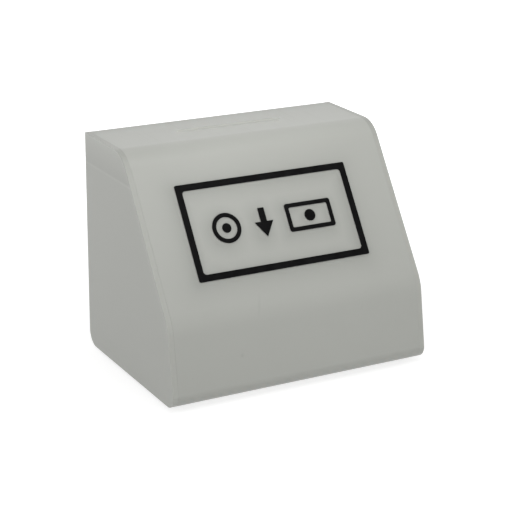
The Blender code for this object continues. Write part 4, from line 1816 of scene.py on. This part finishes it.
    def build(self, shop: Workshop) -> None:
        """Builds and dresses the lock.

        Args:
            shop: Workshop that dresses the pieces.
        """
        shop.dress(self.housing(), "lock_body", Slot.CHROME)
        shop.dress(self.plug(), "lock_plug", Slot.CHROME)
        toothed = self.washer("lock_washer", self.body_radius + self.clearance, self.tooth_depth)
        screw = CrossScrew(0.0021, self.screw_radius, self.screw_pitch, 0.0002, way=-1)
        plated = {
            "lock_washer": toothed,
            "lock_nut": self.nut(),
            "lock_cam": self.cam(),
            "cam_washer": self.washer("cam_washer", self.screw_radius + self.clearance),
            "cam_screw": screw.skin("cam_screw"),
        }
        for node, skin in plated.items():
            shop.dress(skin, node, Slot.LOCK)


# Feet


@dataclass
class Feet:
    """Four stick-on rubber feet: a low button with a round rim and a shallow dish under it."""

    steps: int = 64
    rim: float = 0.0006
    rim_steps: int = 5
    top_share: float = 0.97
    top_ease: float = 0.00008
    dish_share: float = 0.55
    floor_share: float = 0.5
    dish_depth: float = 0.0003
    side_wear: float = 0.3
    dish_wear: float = 0.2

    def foot(self, node: str) -> Skin:
        """Foot: r and z run down the side, round the rim by a quarter circle, and into the dish.

        Args:
            node: Node that the foot stands for.

        Returns:
            The foot's skin.
        """
        box = Box(node)
        radius, height = box.size[0] / 2, box.size[2]
        inset, fall = quarter_round(self.rim, self.rim_steps)
        dish = (radius * self.dish_share, radius * self.floor_share)
        radii = [radius * self.top_share, radius, *(radius - inset), *dish]
        places = [0.0, self.top_ease, *(height - fall), height, height - self.dish_depth]
        wear = [0.0, self.side_wear, *np.ones(self.rim_steps + 1), self.dish_wear, 0.0]
        seat = Seat((*box.middle[:2], box.high[2]), up=(0.0, 1.0, 0.0), out=(0.0, 0.0, -1.0))
        skin = Skin()
        skin.rings(seat, places, radii, self.steps, wear, capped=True)
        return skin

    def build(self, shop: Workshop) -> None:
        """Builds and dresses the feet."""
        for node in ("front_left_foot", "front_right_foot", "rear_left_foot", "rear_right_foot"):
            shop.dress(self.foot(node), node, Slot.RUBBER)


# Studio


@dataclass(frozen=True)
class SoftLamp:
    """Square soft lamp: its place, its side, its power, and whether gloss shows it."""

    name: str
    place: tuple[float, float, float]
    size: float
    power: float
    gloss: bool = False

    def build(self, target: Vector) -> None:
        """Hangs the lamp so that it faces a target.

        Args:
            target: Point that it faces.
        """
        light = bpy.data.lights.new(self.name, "AREA")
        light.size = self.size
        light.energy = self.power
        lamp = bpy.data.objects.new(self.name, light)
        bpy.context.scene.collection.objects.link(lamp)
        lamp.location = self.place
        lamp.visible_glossy = self.gloss
        lamp.rotation_euler = (target - lamp.location).to_track_quat("-Z", "Y").to_euler()


LAMPS = (
    SoftLamp("near_lamp", (0.0, -0.14, 0.36), 0.25, 0.352, gloss=True),
    SoftLamp("left_lamp", (-1.4, -0.1, 0.7), 0.8, 4.82),
    SoftLamp("front_lamp", (0.0, -1.3, 0.5), 0.8, 3.59),
    SoftLamp("rear_lamp", (0.0, 1.4, 0.32), 0.6, 8.1),
    SoftLamp("right_lamp", (1.4, 0.1, 0.32), 0.6, 7.2),
)
WHITE = colour(1.0, 1.0, 1.0)


@dataclass
class Studio:
    """Pale floor, soft lamps, white surroundings, and the camera at the photograph's place."""

    case: Case
    azimuth: float = np.radians(-28.70)
    elevation: float = np.radians(18.97)
    roll: float = np.radians(0.481)
    distance: float = 1.1808
    focal_pixels: float = 1669.9
    frame_pixels: float = 510.0
    off_centre: tuple[float, float] = (8.74, 8.92)
    aim_share: tuple[float, float, float] = (0.0, 0.3, 0.35)
    sensor: float = 36.0
    clip_start: float = 0.01
    floor_size: float = 6.0
    surround_level: float = 0.4
    floor_colour: Colour = colour(0.42, 0.42, 0.42)
    floor_light: float = 0.24
    glow_levels: tuple[float, float] = (0.745, 1.0)
    glow_radii: tuple[float, float] = (0.15, 0.55)

    def camera(self) -> None:
        """Places the camera back from its aim, and shifts it so that the aim lands off centre."""
        level = np.cos(self.elevation) * np.array([np.sin(self.azimuth), -np.cos(self.azimuth)])
        back = np.array([*level, np.sin(self.elevation)])
        right = np.cross(-back, (0.0, 0.0, 1.0))
        right /= np.linalg.norm(right)
        up = np.cross(right, -back)
        turned_right = right * np.cos(self.roll) + up * np.sin(self.roll)
        turned_up = up * np.cos(self.roll) - right * np.sin(self.roll)
        aim = np.array([0.0, *self.case.origin]) + 2 * self.case.half_width * np.array(self.aim_share)
        shift = np.array(self.off_centre) * self.distance / self.focal_pixels
        place = aim + back * self.distance - turned_right * shift[0] + turned_up * shift[1]
        lens = bpy.data.cameras.new("photo_camera")
        lens.sensor_width = self.sensor
        lens.lens = self.focal_pixels * self.sensor / self.frame_pixels
        lens.clip_start = self.clip_start
        camera = bpy.data.objects.new("photo_camera", lens)
        bpy.context.scene.collection.objects.link(camera)
        axes = np.column_stack([turned_right, turned_up, back, place])
        camera.matrix_world = Matrix(np.vstack([axes, (0.0, 0.0, 0.0, 1.0)]).tolist())
        bpy.context.scene.camera = camera

    def seen(self, shading: Shading) -> Value:
        """1 for camera, glossy and transmission rays, 0 for the rays that light the object."""
        path = shading.add("ShaderNodeLightPath", output="Is Camera Ray")
        return path.larger(path.other("Is Glossy Ray")).larger(path.other("Is Transmission Ray"))

    def surroundings(self) -> None:
        """White world to the eye, and a plain even dome of light to the object."""
        world = bpy.data.worlds.new("studio")
        world.use_nodes = True
        bpy.context.scene.world = world
        shading = Shading(world.node_tree)
        lit = Value(shading, world.node_tree.nodes["Background"].outputs[0])
        lit.socket.node.inputs["Color"].default_value = WHITE
        lit.socket.node.inputs["Strength"].default_value = self.surround_level
        shown = shading.add("ShaderNodeBackground", {"Color": WHITE, "Strength": 1.0})
        mixed = shading.add("ShaderNodeMixShader", {0: self.seen(shading), 1: lit, 2: shown})
        shading.set(world.node_tree.nodes["World Output"].inputs["Surface"], mixed)

    def floor(self, shop: Workshop) -> None:
        """Pale floor that looks white and keeps the object's soft shadow.

        Args:
            shop: Workshop, for the shared effects.
        """
        mesh = bpy.data.meshes.new("floor")
        corners = np.array([(-1, -1, 0), (1, -1, 0), (1, 1, 0), (-1, 1, 0)]) * self.floor_size / 2
        mesh.from_pydata(corners.tolist(), [], [(0, 1, 2, 3)])
        floor = bpy.data.objects.new("floor", mesh)
        bpy.context.scene.collection.objects.link(floor)
        surface = Surface("pale_floor", shop.effects)
        surface.feed(Base_Color=self.floor_colour, Roughness=0.9, Specular_IOR_Level=0.0)
        radius = surface.vector("LENGTH", surface.coordinates).other("Value")
        extra = radius.carry(self.glow_radii, self.glow_levels) - self.floor_light
        strength = self.seen(surface) * extra + self.floor_light
        glow = surface.add("ShaderNodeEmission", {"Color": WHITE, "Strength": strength})
        body = Value(surface, surface.tree.nodes["Principled BSDF"].outputs[0])
        total = surface.add("ShaderNodeAddShader", {0: body, 1: glow})
        surface.set(surface.tree.nodes["Material Output"].inputs["Surface"], total)
        mesh.materials.append(surface.material)

    def build(self, shop: Workshop) -> None:
        """Sets up the camera, the surroundings, the floor and the lamps.

        Args:
            shop: Workshop that dresses the pieces.
        """
        self.camera()
        self.surroundings()
        self.floor(shop)
        target = Vector((0.0, 0.0, (self.case.bottom + self.case.top) / 2))
        for lamp in LAMPS:
            lamp.build(target)
        bpy.context.scene.view_settings.view_transform = "Standard"


def main() -> None:
    """Builds the case, its print, the door, the hinge, the lock, the feet and the studio, in that order."""
    logging.basicConfig(level=logging.INFO, format="%(name)s: %(message)s")
    shop = Workshop()
    case = Case()
    front_print = FrontPrint(case.slope_seat())
    case.build(shop, front_print.shade())
    for assembly in (front_print, RearDoor(), PianoHinge(), CamLock(), Feet(), Studio(case)):
        assembly.build(shop)
    log.info("%d pieces dressed of %d nodes", shop.done, len(frame["nodes"]))


if __name__ == "__main__":
    main()
